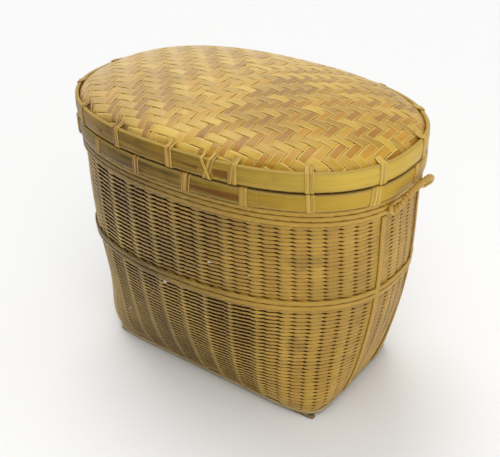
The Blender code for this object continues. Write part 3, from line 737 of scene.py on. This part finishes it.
def waling(name, bottom, top, rows, strands, proud, half_width, node):
    """Rows of thick twisted strands that slant gently down towards the right."""
    sheaf = Sheaf()
    pitch = (top - bottom) / rows
    turns = strands if STAKES % strands else 1
    copies = 1 if turns > 1 else strands
    over = strands - 1.0
    unit = FIRST_UNIT + np.arange(STAKES * WALING_SAMPLES * turns) / WALING_SAMPLES
    for row in range(rows):
        base = bottom + (row + 0.5) * pitch
        share = stake_share(unit, base)
        for copy in range(copies):
            local = np.mod(unit - copy - row * 0.5 - 0.5, strands)
            hidden = local > over
            shown = np.where(hidden, 0.0, local / over)
            back = np.clip((local - over) / (strands - over), 0.0, 1.0)
            rise = np.where(hidden, -1.0 + 2.0 * back, 1.0 - 2.0 * shown)
            dip = np.where(hidden, 0.5 - 0.5 * np.cos(TAU * back), 0.0)
            ends = np.minimum(shown, 1.0 - shown) * over
            front = np.where(hidden, 0.0, np.clip(ends / WALING_RAMP, 0.0, 1.0))
            depth = WALING_CORE - front * proud + dip * WALING_DIP
            level = base + climb(share, base) + ROW_WAVER * unevenness(share, base)
            level = level + (0.5 * pitch - half_width * WALING_SLANT) * rise
            path, out = wall(share, level, depth)
            size = half_width * (1.0 + WALING_UNEVEN * unevenness(share * 3.0 + row, level * 9.0))
            sheaf.sweep(path, out, size, WALING_HALF_THICK, closed=True, tone=rng.random(),
                        start=rng.random() * START_SPREAD)
    sheaf.build(name, WALING, "body", "waling_cane", [node])


waling("top_waling_cane", UPPER_TOP + 0.0003, WALING_TOP + 0.0006, 3, 3, 0.0030, 0.0026, "top_waling")
waling("middle_waling_cane", LOWER_TOP + 0.0001, MIDDLE_TOP + 0.0002, 2, 4, 0.0026, 0.0027, "middle_waling")

# Bands that go round: hoops and collar
BAND_STEPS = 960
BAND_WAVE_RISE = 20.0
LAP_SHARE = 4.0 / STATIONS
LAP_TIP = 0.0003
CROWN = 0.0003
LARGEST_INSET = 0.0007
FACE_ROUND = 0.0007
BACK_ROUND = 0.0006

# Brown bands on a hoop: where each begins and ends, and half its height at either end
LID_STAINS = ((0.6600, 0.6680, 0.2, 0.4), (0.7640, 0.7885, 0.08, 0.34), (0.8040, 0.8180, 0.54, 0.60),
              (0.0900, 0.1040, 0.4, 0.2), (0.3420, 0.3590, 0.2, 0.5))
RIM_STAINS = ((0.6400, 0.6540, 0.2, 0.4), (0.7775, 0.8290, 0.34, 0.66), (0.1750, 0.1900, 0.5, 0.3),
              (0.4100, 0.4320, 0.2, 0.5))


def band(name, surface, body, node, depths, heights, lap_start=None, wave=0.0003, stains=()):
    """A split-bamboo hoop, whose ends lie over each other in a scarf where a lap is given."""
    outer, inner = depths
    closed = lap_start is None
    if closed:
        travelled = np.arange(BAND_STEPS) / BAND_STEPS
        share = SEAM_SHARE + travelled
    else:
        travelled = np.linspace(0.0, 1.0 + LAP_SHARE, BAND_STEPS)
        share = lap_start + travelled
    near = np.full(len(share), outer)
    far = np.full(len(share), inner)
    if not closed:
        slope = inner - outer - 3.0 * LAP_TIP
        begin = np.clip(travelled / LAP_SHARE, 0.0, 1.0)
        near = np.where(travelled <= LAP_SHARE, inner - LAP_TIP - begin * (slope + LAP_TIP), near)
        finish = np.clip((travelled - 1.0) / LAP_SHARE, 0.0, 1.0)
        far = np.where(travelled >= 1.0, inner - 2.0 * LAP_TIP - finish * slope, far)
    low = heights[0] + wave * unevenness(share, heights[0] * BAND_WAVE_RISE)
    high = heights[1] + wave * unevenness(share + 0.37, heights[1] * BAND_WAVE_RISE)
    inset = np.minimum(LARGEST_INSET, 0.4 * (far - near))
    tall = high - low
    section = (
        (far - 0.5 * inset, low, -1.3), (far, low + BACK_ROUND, -1.0),
        (far, high - BACK_ROUND, 1.0), (far - 0.5 * inset, high, 1.3),
        (near + inset, high, 1.25), (near + 0.3 * inset, high - FACE_ROUND, 1.0),
        (near - 0.5 * CROWN, low + 0.7 * tall, 0.55), (near - CROWN, low + 0.5 * tall, 0.0),
        (near - 0.5 * CROWN, low + 0.3 * tall, -0.55), (near + 0.3 * inset, low + FACE_ROUND, -1.0),
        (near + inset, low, -1.25), (0.5 * (near + far) + 0.25 * inset, low, 1.28))
    rings = np.stack([hoop_line(share, depth, level)[0] for depth, level, side in section], 1)
    sides = np.array([side for depth, level, side in section])
    stain_and_shade = np.zeros(len(share))
    for begin, end, first_half, last_half in stains:
        along = np.mod(share - begin + 0.5, 1.0) - 0.5
        inside = (along > 0.0) & (along < end - begin)
        stain_and_shade = np.where(inside, first_half + (last_half - first_half) * along / (end - begin), stain_and_shade)
    sheaf = Sheaf()
    sheaf.add(rings, fibre_values(rings, travelled * HOOP_ROUND, sides, rng.random()), closed, stain_and_shade)
    sheaf.build(name, surface, body, "bamboo_hoop", [node])


band("lid_hoop_face", HOOP, "lid", "lid_outer_hoop", (0.0, HOOP_THICK), LID_HOOP,
     lap_start=39.0 / STATIONS, stains=LID_STAINS)
band("rim_hoop_face", RIM_HOOP_SHADED, "body", "rim_outer_hoop", (0.0, HOOP_THICK), RIM,
     lap_start=40.0 / STATIONS, stains=RIM_STAINS)
band("rim_hoop_back", INNER, "body", "rim_inner_hoop", RIM_INNER, RIM)
band("collar_band", INNER, "body", "rim_collar", COLLAR_DEPTHS, COLLAR, wave=0.0001)
band("lid_hoop_back", INNER, "lid", "lid_inner_hoop", LID_INNER, (LID_HOOP[0], LID_INNER_TOP), wave=0.0001)

# Twill mat of the lid: pitch and first strip along X and along Y, and the strip where the twill turns
MAT_HALF = (HOOP_HALF[0] - MAT_DEPTH, HOOP_HALF[1] - MAT_DEPTH)
MAT_PITCH = (0.01026, 0.01006)
MAT_FIRST = (0.00135, 0.00076)
POINT_STRIP = -1
MAT_SAMPLES = 5
MAT_REACH = (26, 19)
MAT_LOWEST = LID_HOOP[0] + 0.0015
MAT_SINK = 0.0008
CUT_SPREAD = 0.0015
STRIP_GAP = 0.0003
STRIP_VARIETY = 0.0002
STRIP_WAVER = 0.00025
WAVER_RATE = 31.0
STRIP_SHIFT = 0.00012
SUNK_STRIP = 0.03
LEAST_POINTS = 8
STRIP_LIFT = 0.00050
STRIP_HALF_THICK = 0.00034
ARC_TABLES = 24
PROFILE = np.linspace(0.0, 1.0, 400) ** 0.5
SWELL = (1.0 - PROFILE ** DOME_POWER) ** (1.0 / DOME_FLATNESS)

# Where the mat's edge is tucked in further: from share to share, how far, and between which heights
TUCKS = ((0.625, 0.655), (0.668, 0.712), (0.735, 0.762), (0.800, 0.872), (0.110, 0.150), (0.300, 0.340))
TUCK_DEPTH = 0.0026
TUCK_SHARPNESS = 2.5
TUCK_RISE = (0.3045, 0.3065)
TUCK_FALL = (0.3170, 0.3110)


def dome_share(reach, radius):
    """Share of the outline, and drop past the edge, for places on the flat mat, which isn't stretched."""
    radii = np.linspace(radius.min(), radius.max() + 1e-6, ARC_TABLES)
    step_up = np.diff(SWELL) * (DOME_TOP - MAT_EDGE)
    arcs = [np.concatenate(([0.0], np.cumsum(np.hypot(np.diff(PROFILE) * size, step_up)))) / size
            for size in radii]
    index = np.clip((radius - radii[0]) / (radii[1] - radii[0]), 0.0, ARC_TABLES - 1.001)
    low = index.astype(int)
    shares = np.empty(reach.shape)
    drops = np.empty(reach.shape)
    for number in np.unique(low):
        chosen = low == number
        mix = index[chosen] - number
        first, second = (np.interp(reach[chosen], arc, PROFILE) for arc in arcs[number:number + 2])
        shares[chosen] = first * (1 - mix) + second * mix
        full = arcs[number][-1] * (1 - mix) + arcs[number + 1][-1] * mix
        drops[chosen] = np.maximum(reach[chosen] - full, 0.0) * radius[chosen]
    return shares, drops


def mat_surface(a, b):
    """Place on the dome for a place on the flat mat; beyond the edge it turns straight down."""
    across = np.abs(a / MAT_HALF[0]) ** RIM_POWER + np.abs(b / MAT_HALF[1]) ** RIM_POWER
    reach = np.maximum(across ** (1.0 / RIM_POWER), 1e-6)
    radius = np.hypot(a, b) / reach
    shares, drops = dome_share(reach, radius)
    level = MAT_EDGE - MAT_SINK + (DOME_TOP - MAT_EDGE) * np.interp(shares, PROFILE, SWELL) - drops
    angle = np.mod(np.arctan2(b / MAT_HALF[1], a / MAT_HALF[0]) / TAU, 1.0)
    pulled = np.zeros(a.shape)
    for begin, end in TUCKS:
        away = np.abs(angle - 0.5 * (begin + end)) / (0.5 * (end - begin))
        pulled = np.maximum(pulled, np.clip((1.0 - away) * TUCK_SHARPNESS, 0.0, 1.0))
    tuck = TUCK_DEPTH * pulled * rise_between(TUCK_RISE, level) * rise_between(TUCK_FALL, level)
    scale = shares / reach * (1.0 - tuck / np.maximum(radius, 1e-6))
    return np.stack([a * scale, b * scale, level], -1)


def mat_normal(a, b, step=0.0004):
    """Outward direction of the dome."""
    return normalised(np.cross(mat_surface(a + step, b) - mat_surface(a - step, b),
                               mat_surface(a, b + step) - mat_surface(a, b - step)))


def over(i, n):
    """Whether strip i, which runs along Y, lies over strip n, which runs along X."""
    mirrored = np.where(i >= POINT_STRIP, i, 2 * POINT_STRIP - i)
    return np.mod(n - mirrored, 4) >= 2


def mat_strip(sheaf, own, number):
    """One strip of the twill, cut where it has turned down far enough inside the hoop; own is its axis."""
    other = 1 - own
    centre = MAT_FIRST[other] + number * MAT_PITCH[other]
    place = np.arange(-MAT_REACH[own] * MAT_SAMPLES, MAT_REACH[own] * MAT_SAMPLES + 1) / MAT_SAMPLES
    travel = MAT_FIRST[own] + place * MAT_PITCH[own]

    def on_dome(reading, along, beside):
        return reading(beside, along) if own else reading(along, beside)

    level = on_dome(mat_surface, travel, np.full(len(travel), centre))[:, 2]
    keep = level > MAT_LOWEST + CUT_SPREAD * rng.random()
    if keep.sum() < LEAST_POINTS:
        return
    kept = slice(int(np.argmax(keep)), len(keep) - int(np.argmax(keep[::-1])))
    place = place[kept]
    travel = travel[kept]
    before = np.floor(place).astype(int)
    share = place - before
    share = share * share * (3.0 - 2.0 * share)

    def state(crossing):
        lies_over = over(number, crossing) if own else ~over(crossing, number)
        return np.where(lies_over, 1.0, -1.0)

    lift = state(before) * (1 - share) + state(before + 1) * share
    half = MAT_PITCH[other] * 0.5 - STRIP_GAP - STRIP_VARIETY * rng.random()
    waver = STRIP_WAVER * np.sin(travel * WAVER_RATE + rng.uniform(0, TAU)) + rng.normal(0, STRIP_SHIFT)
    half = half * (1.0 - SUNK_STRIP * (lift < 0))
    side = MAT_SECTION[None, :, 0] * half[:, None] + (centre + waver)[:, None]
    run = np.broadcast_to(travel[:, None], side.shape)
    rise = STRIP_LIFT * lift[:, None] + STRIP_HALF_THICK * MAT_SECTION[None, :, 1]
    rings = on_dome(mat_surface, run, side) + on_dome(mat_normal, run, side) * rise[..., None]
    fibre = fibre_values(rings, travel + rng.random() * SHORT_SPREAD, MAT_SECTION[:, 0], rng.random())
    turn = slice(None) if own else slice(None, None, -1)
    sheaf.add(rings[:, turn], fibre[:, turn], closed=False)


for own, name, surface, reach in ((0, "mat_strips_long", MAT_LONG, 15),
                                  (1, "mat_strips_short", MAT_SHORT, 21)):
    mat = Sheaf()
    for number in range(-reach, reach + 1):
        mat_strip(mat, own, number)
    mat.build(name, surface, "lid", "twill_mat", ["lid_mat"])

# Lashings: corners of a cane turn as (depth, height), over the hoop, down its face, under it and up behind
CANE_HALF = 0.0005
CANE_CLEAR = CANE_HALF + 0.0002
CANE_BEHIND = CANE_HALF + 0.0003
CANE_CORNER = 0.0016
CANE_STEP = 0.0035
LEAN_JITTER = 0.0004
RIM_CORNERS = ((0.0064, RIM[1] + CANE_CLEAR), (-CANE_CLEAR, RIM[1] + CANE_CLEAR),
               (-CANE_CLEAR, RIM[0] - CANE_CLEAR), (RIM_INNER[1] + CANE_BEHIND, RIM[0] - CANE_CLEAR),
               (RIM_INNER[1] + CANE_BEHIND, RIM[1] + CANE_CLEAR), (0.0060, RIM[1] + CANE_CLEAR))
LID_CORNERS = ((0.0100, LID_HOOP[1] + 0.0042), (0.0045, LID_HOOP[1] + 0.0012),
               (-CANE_CLEAR, LID_HOOP[1] + CANE_CLEAR), (-CANE_CLEAR, LID_HOOP[0] - CANE_CLEAR),
               (LID_INNER[1] + CANE_BEHIND, LID_HOOP[0] - CANE_CLEAR),
               (LID_INNER[1] + CANE_BEHIND, LID_INNER_TOP - 0.0020))


def rounded(corners, radius, steps=5):
    """Corner path with its corners rounded off, as an open line."""
    corners = [np.array(corner, float) for corner in corners]
    path = [corners[0]]
    for before, here, after in zip(corners[:-2], corners[1:-1], corners[2:]):
        size = min(radius, 0.45 * np.linalg.norm(here - before), 0.45 * np.linalg.norm(after - here))
        start = here - normalised(here - before) * size
        end = here + normalised(after - here) * size
        for t in np.arange(steps + 1) / steps:
            path.append((1 - t) ** 2 * start + 2 * t * (1 - t) * here + t * t * end)
    path.append(corners[-1])
    return path


def wrap(sheaf, share, corners, half_width, lean):
    """One turn of cane over the hoops; lean slides its top along the hoop."""
    path = rounded(corners, CANE_CORNER)
    fine = [path[0]]
    for before, after in zip(path[:-1], path[1:]):
        pieces = max(1, int(np.linalg.norm(after - before) / CANE_STEP))
        for step in range(1, pieces + 1):
            fine.append(before + (after - before) * step / pieces)
    fine = np.array(fine)
    depth, height = fine.T
    middle = 0.5 * (height.min() + height.max())
    slide = lean * (height - middle) / (height.max() - height.min())
    spots, normals = hoop_line(share + slide / HOOP_ROUND, depth, height)
    run = normalised(np.gradient(fine, axis=0))
    out = normals * run[:, 1:2] + UP * run[:, 0:1]
    sheaf.sweep(spots, out, half_width, CANE_HALF, SPLINT, tone=rng.random(),
                start=rng.random() * SHORT_SPREAD)


for label, body, count, first, gap, spread, corners, half_width in (
        ("rim", "body", 17, 0.0090, 0.0020, 0.0014, RIM_CORNERS, 0.0019),
        ("lid", "lid", 15, 0.0233, 0.0021, 0.0012, LID_CORNERS, 0.0020)):
    for number in range(count):
        lashing = Sheaf()
        share = first + number / count
        lean = rng.normal(0.0, spread)
        three = label == "rim" and number % 3 == 1
        for side in (-2.0, 0.0, 2.0) if three else (-1.0, 1.0):
            wrap(lashing, share + side * gap / HOOP_ROUND, corners, half_width,
                 lean + rng.normal(0.0, LEAN_JITTER))
        lashing.build(f"{label}_wrap_{number + 1:02d}", LASH, body, "lashing_cane",
                      [f"{label}_lashing_{number + 1:02d}"])

# Slanting turns over the lap of the lid's hoop
LAP_PLACE = 0.8000
crossed = [(depth - 0.0009 * (depth < 0.0), height) for depth, height in LID_CORNERS]
lap = Sheaf()
for side in (-1.0, 1.0):
    wrap(lap, LAP_PLACE + side * 0.0016 / HOOP_ROUND, LID_CORNERS, 0.00140, 0.0090)
wrap(lap, LAP_PLACE - 0.0035, crossed, 0.00150, -0.0100)
lap.build("lid_lap_wrap", LASH, "lid", "lashing_cane", ["lid_lap_binding"])

# Handles, eyes and legs
GRIP_X = 0.2080
GRIP_HEIGHT = 0.2738
GRIP_HALF = 0.016
GRIP_CORNER_Y = 0.034
GRIP_RISE = np.array([0.0125, -0.0015, 0.0020])
GRIP_STRAIGHT = 12
GRIP_CORE = 0.0025
GRIP_CANE = (0.00195, 0.00058)
GRIP_WIND = 0.0026
GRIP_TURN = 0.0040
GRIP_STEP = 0.0003
GRIP_WAVER = 0.05
GRIP_WAVER_RATE = 300.0
CORE_STEP = 0.002
FOOT_Y = 0.031
FOOT_HEIGHT = 0.2585
FOOT_PROUD = 0.0042
FOOT_SINK = 0.0006
EYE_STEP = 0.0032
EYE_RADIUS = 0.0042
EYE_CANE = (0.0016, 0.0010)
EYE_PITCH = 0.0013
LEG_Y = 0.036
LEG_LEVELS = np.linspace(0.014, 0.252, 60)
LEG_PROUD = 0.0011
LEG_HALF = (0.0029, 0.0009)
LEG_WAVER = 0.0001
LEG_WAVER_RATE = 90.0
FAR_TONE = np.array([0.31, 0.0, 0.37])
OPPOSITE = {"": "", "_front": "_rear", "_rear": "_front"}


def share_at_y(height, y):
    """Share of the way round near the +X end where the wall has the given Y."""
    shares = np.linspace(-0.12, 0.12, 2001)
    return float(np.interp(y, wall(shares, height, 0.0)[0][:, 1], shares))


def handle_line():
    """Centre line of the +X handle from its front foot to its rear foot."""
    foot = wall(np.array([share_at_y(FOOT_HEIGHT, -FOOT_Y)]), FOOT_HEIGHT, -FOOT_PROUD)[0][0]
    foot = foot - np.array([FOOT_SINK, 0.0, 0.0])
    bend = (foot, foot + GRIP_RISE, np.array([GRIP_X, -GRIP_CORNER_Y, GRIP_HEIGHT]),
            np.array([GRIP_X, -GRIP_HALF, GRIP_HEIGHT]))
    t = np.linspace(0.0, 1.0, 40)[:, None]
    curve = ((1 - t) ** 3 * bend[0] + 3 * t * (1 - t) ** 2 * bend[1] + 3 * t * t * (1 - t) * bend[2]
             + t ** 3 * bend[3])
    straight = np.column_stack([np.full(GRIP_STRAIGHT, GRIP_X),
                                np.linspace(-GRIP_HALF, 0.0, GRIP_STRAIGHT + 1)[1:],
                                np.full(GRIP_STRAIGHT, GRIP_HEIGHT)])
    half = np.concatenate([curve, straight])
    return np.concatenate([half, (half * np.array([1.0, -1.0, 1.0]))[-2::-1]])


def evenly(path, step):
    """The same line with points a fixed distance apart, and the distance travelled at each."""
    length = lengths_along(path)
    want = np.linspace(0.0, length[-1], max(4, int(length[-1] / step)))
    return np.stack([np.interp(want, length, path[:, axis]) for axis in range(3)], 1), want


def around(path):
    """Two directions square to the line at each point."""
    run = normalised(np.gradient(path, axis=0))
    across = normalised(np.cross(run, UP))
    return across, np.cross(across, run)


def both_ends(sheaf, name, surface, slot, part, place=""):
    """The right end's piece, and the same turned half way round for the left end, where front is rear."""
    sheaf.build(f"right_{name}{place}", surface, "body", slot, [f"right_{part}{place}"])
    sheaf.points = [points * np.array([-1.0, -1.0, 1.0]) for points in sheaf.points]
    sheaf.fibre = [fibre + FAR_TONE for fibre in sheaf.fibre]
    sheaf.build(f"left_{name}{OPPOSITE[place]}", surface, "body", slot, [f"left_{part}{OPPOSITE[place]}"])


grip = Sheaf()
line, run_length = evenly(handle_line(), GRIP_STEP)
across, up = around(line)
turn = TAU * run_length / GRIP_TURN
outward = np.cos(turn)[:, None] * across + np.sin(turn)[:, None] * up
waist = 1.0 + GRIP_WAVER * np.sin(run_length * GRIP_WAVER_RATE)
grip.sweep(line + outward * (GRIP_WIND * waist)[:, None], outward, *GRIP_CANE, tone=0.3)
core_line = evenly(handle_line(), CORE_STEP)[0]
grip.sweep(core_line, around(core_line)[1], GRIP_CORE, GRIP_CORE, tone=0.8)
both_ends(grip, "grip", GRIP, "lashing_cane", "handle")

for place, near, beyond in (("_front", 0, 30), ("_rear", -1, -31)):
    eye = Sheaf()
    direction = normalised(line[beyond] - line[near])
    first = normalised(np.cross(direction, UP))
    second = np.cross(direction, first)
    turn = np.linspace(0.0, TAU * 2.0, 96)
    ring = np.cos(turn)[:, None] * first + np.sin(turn)[:, None] * second
    advance = (EYE_STEP + EYE_PITCH * (turn / TAU - 1.0))[:, None] * direction
    eye.sweep(line[near] + advance + ring * EYE_RADIUS, ring, *EYE_CANE, tone=0.1)
    both_ends(eye, "loop", GRIP, "lashing_cane", "eye", place)

for place, y in (("_front", -LEG_Y), ("_rear", LEG_Y)):
    leg = Sheaf()
    path, out = wall(share_at_y(LEG_LEVELS[-1], y), LEG_LEVELS, -LEG_PROUD)
    leg_half = LEG_HALF[0] + LEG_WAVER * np.sin(LEG_LEVELS * LEG_WAVER_RATE)
    leg.sweep(path, out, leg_half, LEG_HALF[1], SPLINT, tone=0.6)
    both_ends(leg, "strip", WALING, "waling_cane", "leg", place)

# Two splints round the foot of the wall: depth, height and half thickness of each
BORDER_STEPS = 420
BORDER_HALF = 0.0016
BORDER_WAVER = 0.0002
border = Sheaf()
places = SEAM_SHARE + np.arange(BORDER_STEPS) / BORDER_STEPS
outline, plan_out = wall_outline(BORDER[0], places)
border_out = np.column_stack([plan_out, np.zeros(BORDER_STEPS)])
for layer, (depth, height, half_thick) in enumerate(((-0.0002, 0.00735, 0.0009), (0.0014, 0.0072, 0.0008))):
    level = height + BORDER_WAVER * unevenness(places + layer, 0.0)
    ring = np.column_stack([outline - plan_out * depth, level])
    border.sweep(ring, border_out, BORDER_HALF, half_thick, SPLINT, closed=True, tone=rng.random())
border.build("foot_splint", BORDER_SKIN, "body", "woven_splint", ["base_border"])

# Plaited base
PLAIT_PITCH = (0.0115, 0.0118)
PLAIT_COUNT = (7, 12)
PLAIT_HALF = (BASE_HALF[0] - 0.004, BASE_HALF[1] - 0.004)
PLAIT_CORNER = 0.022
PLAIT_STEP = 0.0015
PLAIT_LIFT = 0.00055
PLAIT_GAP = 0.0006
PLAIT_HALF_THICK = 0.0004


def straight_strip(sheaf, own, place, offset, height, up, half_width, half_thick):
    """A strip along X where own is 0 and along Y where it is 1, at an offset from the middle."""
    fixed = np.full(len(place), offset)
    level = np.broadcast_to(height, len(place))
    path = np.column_stack([fixed, place, level] if own else [place, fixed, level])
    sheaf.sweep(path, np.tile(up, (len(place), 1)), half_width, half_thick, SPLINT, tone=rng.random())


panel = Sheaf()
for own, other in ((0, 1), (1, 0)):
    for number in range(-PLAIT_COUNT[own], PLAIT_COUNT[own] + 1):
        centre = number * PLAIT_PITCH[own]
        if abs(centre) > PLAIT_HALF[other]:
            continue
        cut = max(0.0, abs(centre) - (PLAIT_HALF[other] - PLAIT_CORNER))
        length = PLAIT_HALF[own] - (PLAIT_CORNER - math.sqrt(max(PLAIT_CORNER ** 2 - cut ** 2, 0.0)))
        place = np.linspace(-length, length, int(length / PLAIT_STEP))
        level = PANEL_HEIGHT + PLAIT_LIFT * np.cos(math.pi * (place / PLAIT_PITCH[other] + number + own))
        straight_strip(panel, own, place, centre, level, UP, 0.5 * PLAIT_PITCH[own] - PLAIT_GAP,
                       PLAIT_HALF_THICK)
panel.build("base_plait", STAKE, "body", "woven_splint", ["base_panel"])

# Runners under the base: the side each is on, the axis it runs along, its ends, its offset and its heights
RUNNER_HALF = 0.0045
RUNNER_STEPS = 60
RUNNER_TAPER = 0.004
RUNNER_END = 0.60
for side, own, first, last, offset, (low, high) in (
        ("front", 0, -0.138, 0.147, -0.079, LONG_RUNNER), ("rear", 0, -0.138, 0.140, 0.079, LONG_RUNNER),
        ("right", 1, -0.084, 0.082, 0.137, SHORT_RUNNER), ("left", 1, -0.082, 0.082, -0.133, SHORT_RUNNER)):
    bar = Sheaf()
    place = np.linspace(first, last, RUNNER_STEPS)
    ends = np.clip(np.minimum(place - first, last - place) / RUNNER_TAPER, 0.0, 1.0)
    straight_strip(bar, own, place, offset, 0.5 * (low + high), -UP,
                   RUNNER_HALF * (RUNNER_END + (1.0 - RUNNER_END) * np.sqrt(ends)), 0.5 * (high - low))
    bar.build(f"{side}_bar", RUNNER, "body", "dark_splint", [f"{side}_runner"])

# Floor
FLOOR_HALF = 6.0
FLOOR_SINK = 0.0002
floor_mesh = bpy.data.meshes.new("floor")
floor_corners = [(x * FLOOR_HALF, y * FLOOR_HALF, 0.0) for x, y in ((-1, -1), (1, -1), (1, 1), (-1, 1))]
floor_mesh.from_pydata(floor_corners, [], [(0, 1, 2, 3)])
floor = in_scene("floor", floor_mesh)
floor.location.z = -FLOOR_SINK
paper = bpy.data.materials.new("paper")
paper.use_nodes = True
paper_shader = paper.node_tree.nodes["Principled BSDF"]
paper_shader.inputs["Base Color"].default_value = (0.89, 0.89, 0.885, 1.0)
paper_shader.inputs["Roughness"].default_value = 0.9
paper_shader.inputs["Specular IOR Level"].default_value = 0.2
floor_mesh.materials.append(paper)

# Soft light from overhead, white where the camera or a gloss looks at it
CEILING = 1.80
CEILING_POWER = 4.5
WHITE = (0.945, 0.945, 0.93)
world = bpy.data.worlds.new("studio")
bpy.context.scene.world = world
world.use_nodes = True
world.node_tree.nodes.clear()
sky = Tree(world.node_tree)
height_share = sky.maths("MAXIMUM", sky.split(sky.add("ShaderNodeTexCoord", output="Generated"))[2], 0.0)
strength = sky.maths("MULTIPLY", sky.maths("POWER", height_share, CEILING_POWER), CEILING)
soft = sky.add("ShaderNodeBackground", {0: (1.0, 1.0, 1.0), 1: strength})
white = sky.add("ShaderNodeBackground", {0: WHITE, 1: 1.0})
seen = sky.maths("MAXIMUM", sky.add("ShaderNodeLightPath", output="Is Camera Ray"),
                 sky.add("ShaderNodeLightPath", output="Is Glossy Ray"))
sky.add("ShaderNodeOutputWorld", {0: sky.add("ShaderNodeMixShader", {0: seen, 1: soft, 2: white})})


def sun(name, azimuth, elevation, strength, spread):
    """Soft distant lamp; azimuth is counted from +X towards +Y, in degrees."""
    lamp = bpy.data.lights.new(name, "SUN")
    lamp.energy = strength
    lamp.angle = math.radians(spread)
    a = math.radians(azimuth)
    e = math.radians(elevation)
    towards = Vector((math.cos(a) * math.cos(e), math.sin(a) * math.cos(e), math.sin(e)))
    in_scene(name, lamp).rotation_euler = towards.to_track_quat("Z", "Y").to_euler()


sun("window", 145.0, 63.0, 1.06, 36.0)
sun("front", -50.0, 45.0, 0.95, 50.0)

# A broad lamp close to the right front corner
LAMP_FROM = Vector((1.04, -0.26, 0.24))
LAMP_TOWARDS = Vector((0.05, -0.03, 0.17))
side_lamp = bpy.data.lights.new("side", "AREA")
side_lamp.shape = "DISK"
side_lamp.size = 0.60
side_lamp.energy = 2.2
side_light = in_scene("side", side_lamp)
side_light.location = LAMP_FROM
side_light.rotation_euler = (LAMP_FROM - LAMP_TOWARDS).to_track_quat("Z", "Y").to_euler()

# Camera at the photograph's angle
IMAGE_WIDTH = 500.0
IMAGE_HEIGHT = 457.0
FOCAL_PIXELS = 878.267
SENSOR = 36.0
AZIMUTH = math.radians(36.542)
ELEVATION = math.radians(31.269)
DISTANCE = 1.022833
TARGET = Vector((0.0, 0.0, 0.13725))
TARGET_PIXEL = (246.866, 240.24)
ROLL = math.radians(-0.865)
back = Vector((math.sin(AZIMUTH) * math.cos(ELEVATION), -math.cos(AZIMUTH) * math.cos(ELEVATION),
               math.sin(ELEVATION)))
right = Vector((math.cos(AZIMUTH), math.sin(AZIMUTH), 0.0))
up_way = back.cross(right)
rolled_right = right * math.cos(ROLL) + up_way * math.sin(ROLL)
rolled_up = -right * math.sin(ROLL) + up_way * math.cos(ROLL)
pixel_size = DISTANCE / FOCAL_PIXELS
stand = (TARGET + back * DISTANCE - rolled_right * ((TARGET_PIXEL[0] - IMAGE_WIDTH / 2) * pixel_size)
         + rolled_up * ((TARGET_PIXEL[1] - IMAGE_HEIGHT / 2) * pixel_size))
lens = bpy.data.cameras.new("camera")
lens.sensor_width = SENSOR
lens.lens = FOCAL_PIXELS * SENSOR / IMAGE_WIDTH
lens.clip_start = 0.01
camera = in_scene("camera", lens)
turned = Matrix((rolled_right, rolled_up, back)).transposed().to_4x4()
turned.translation = stand
camera.matrix_world = turned
bpy.context.scene.camera = camera
bpy.context.scene.view_settings.view_transform = "Standard"
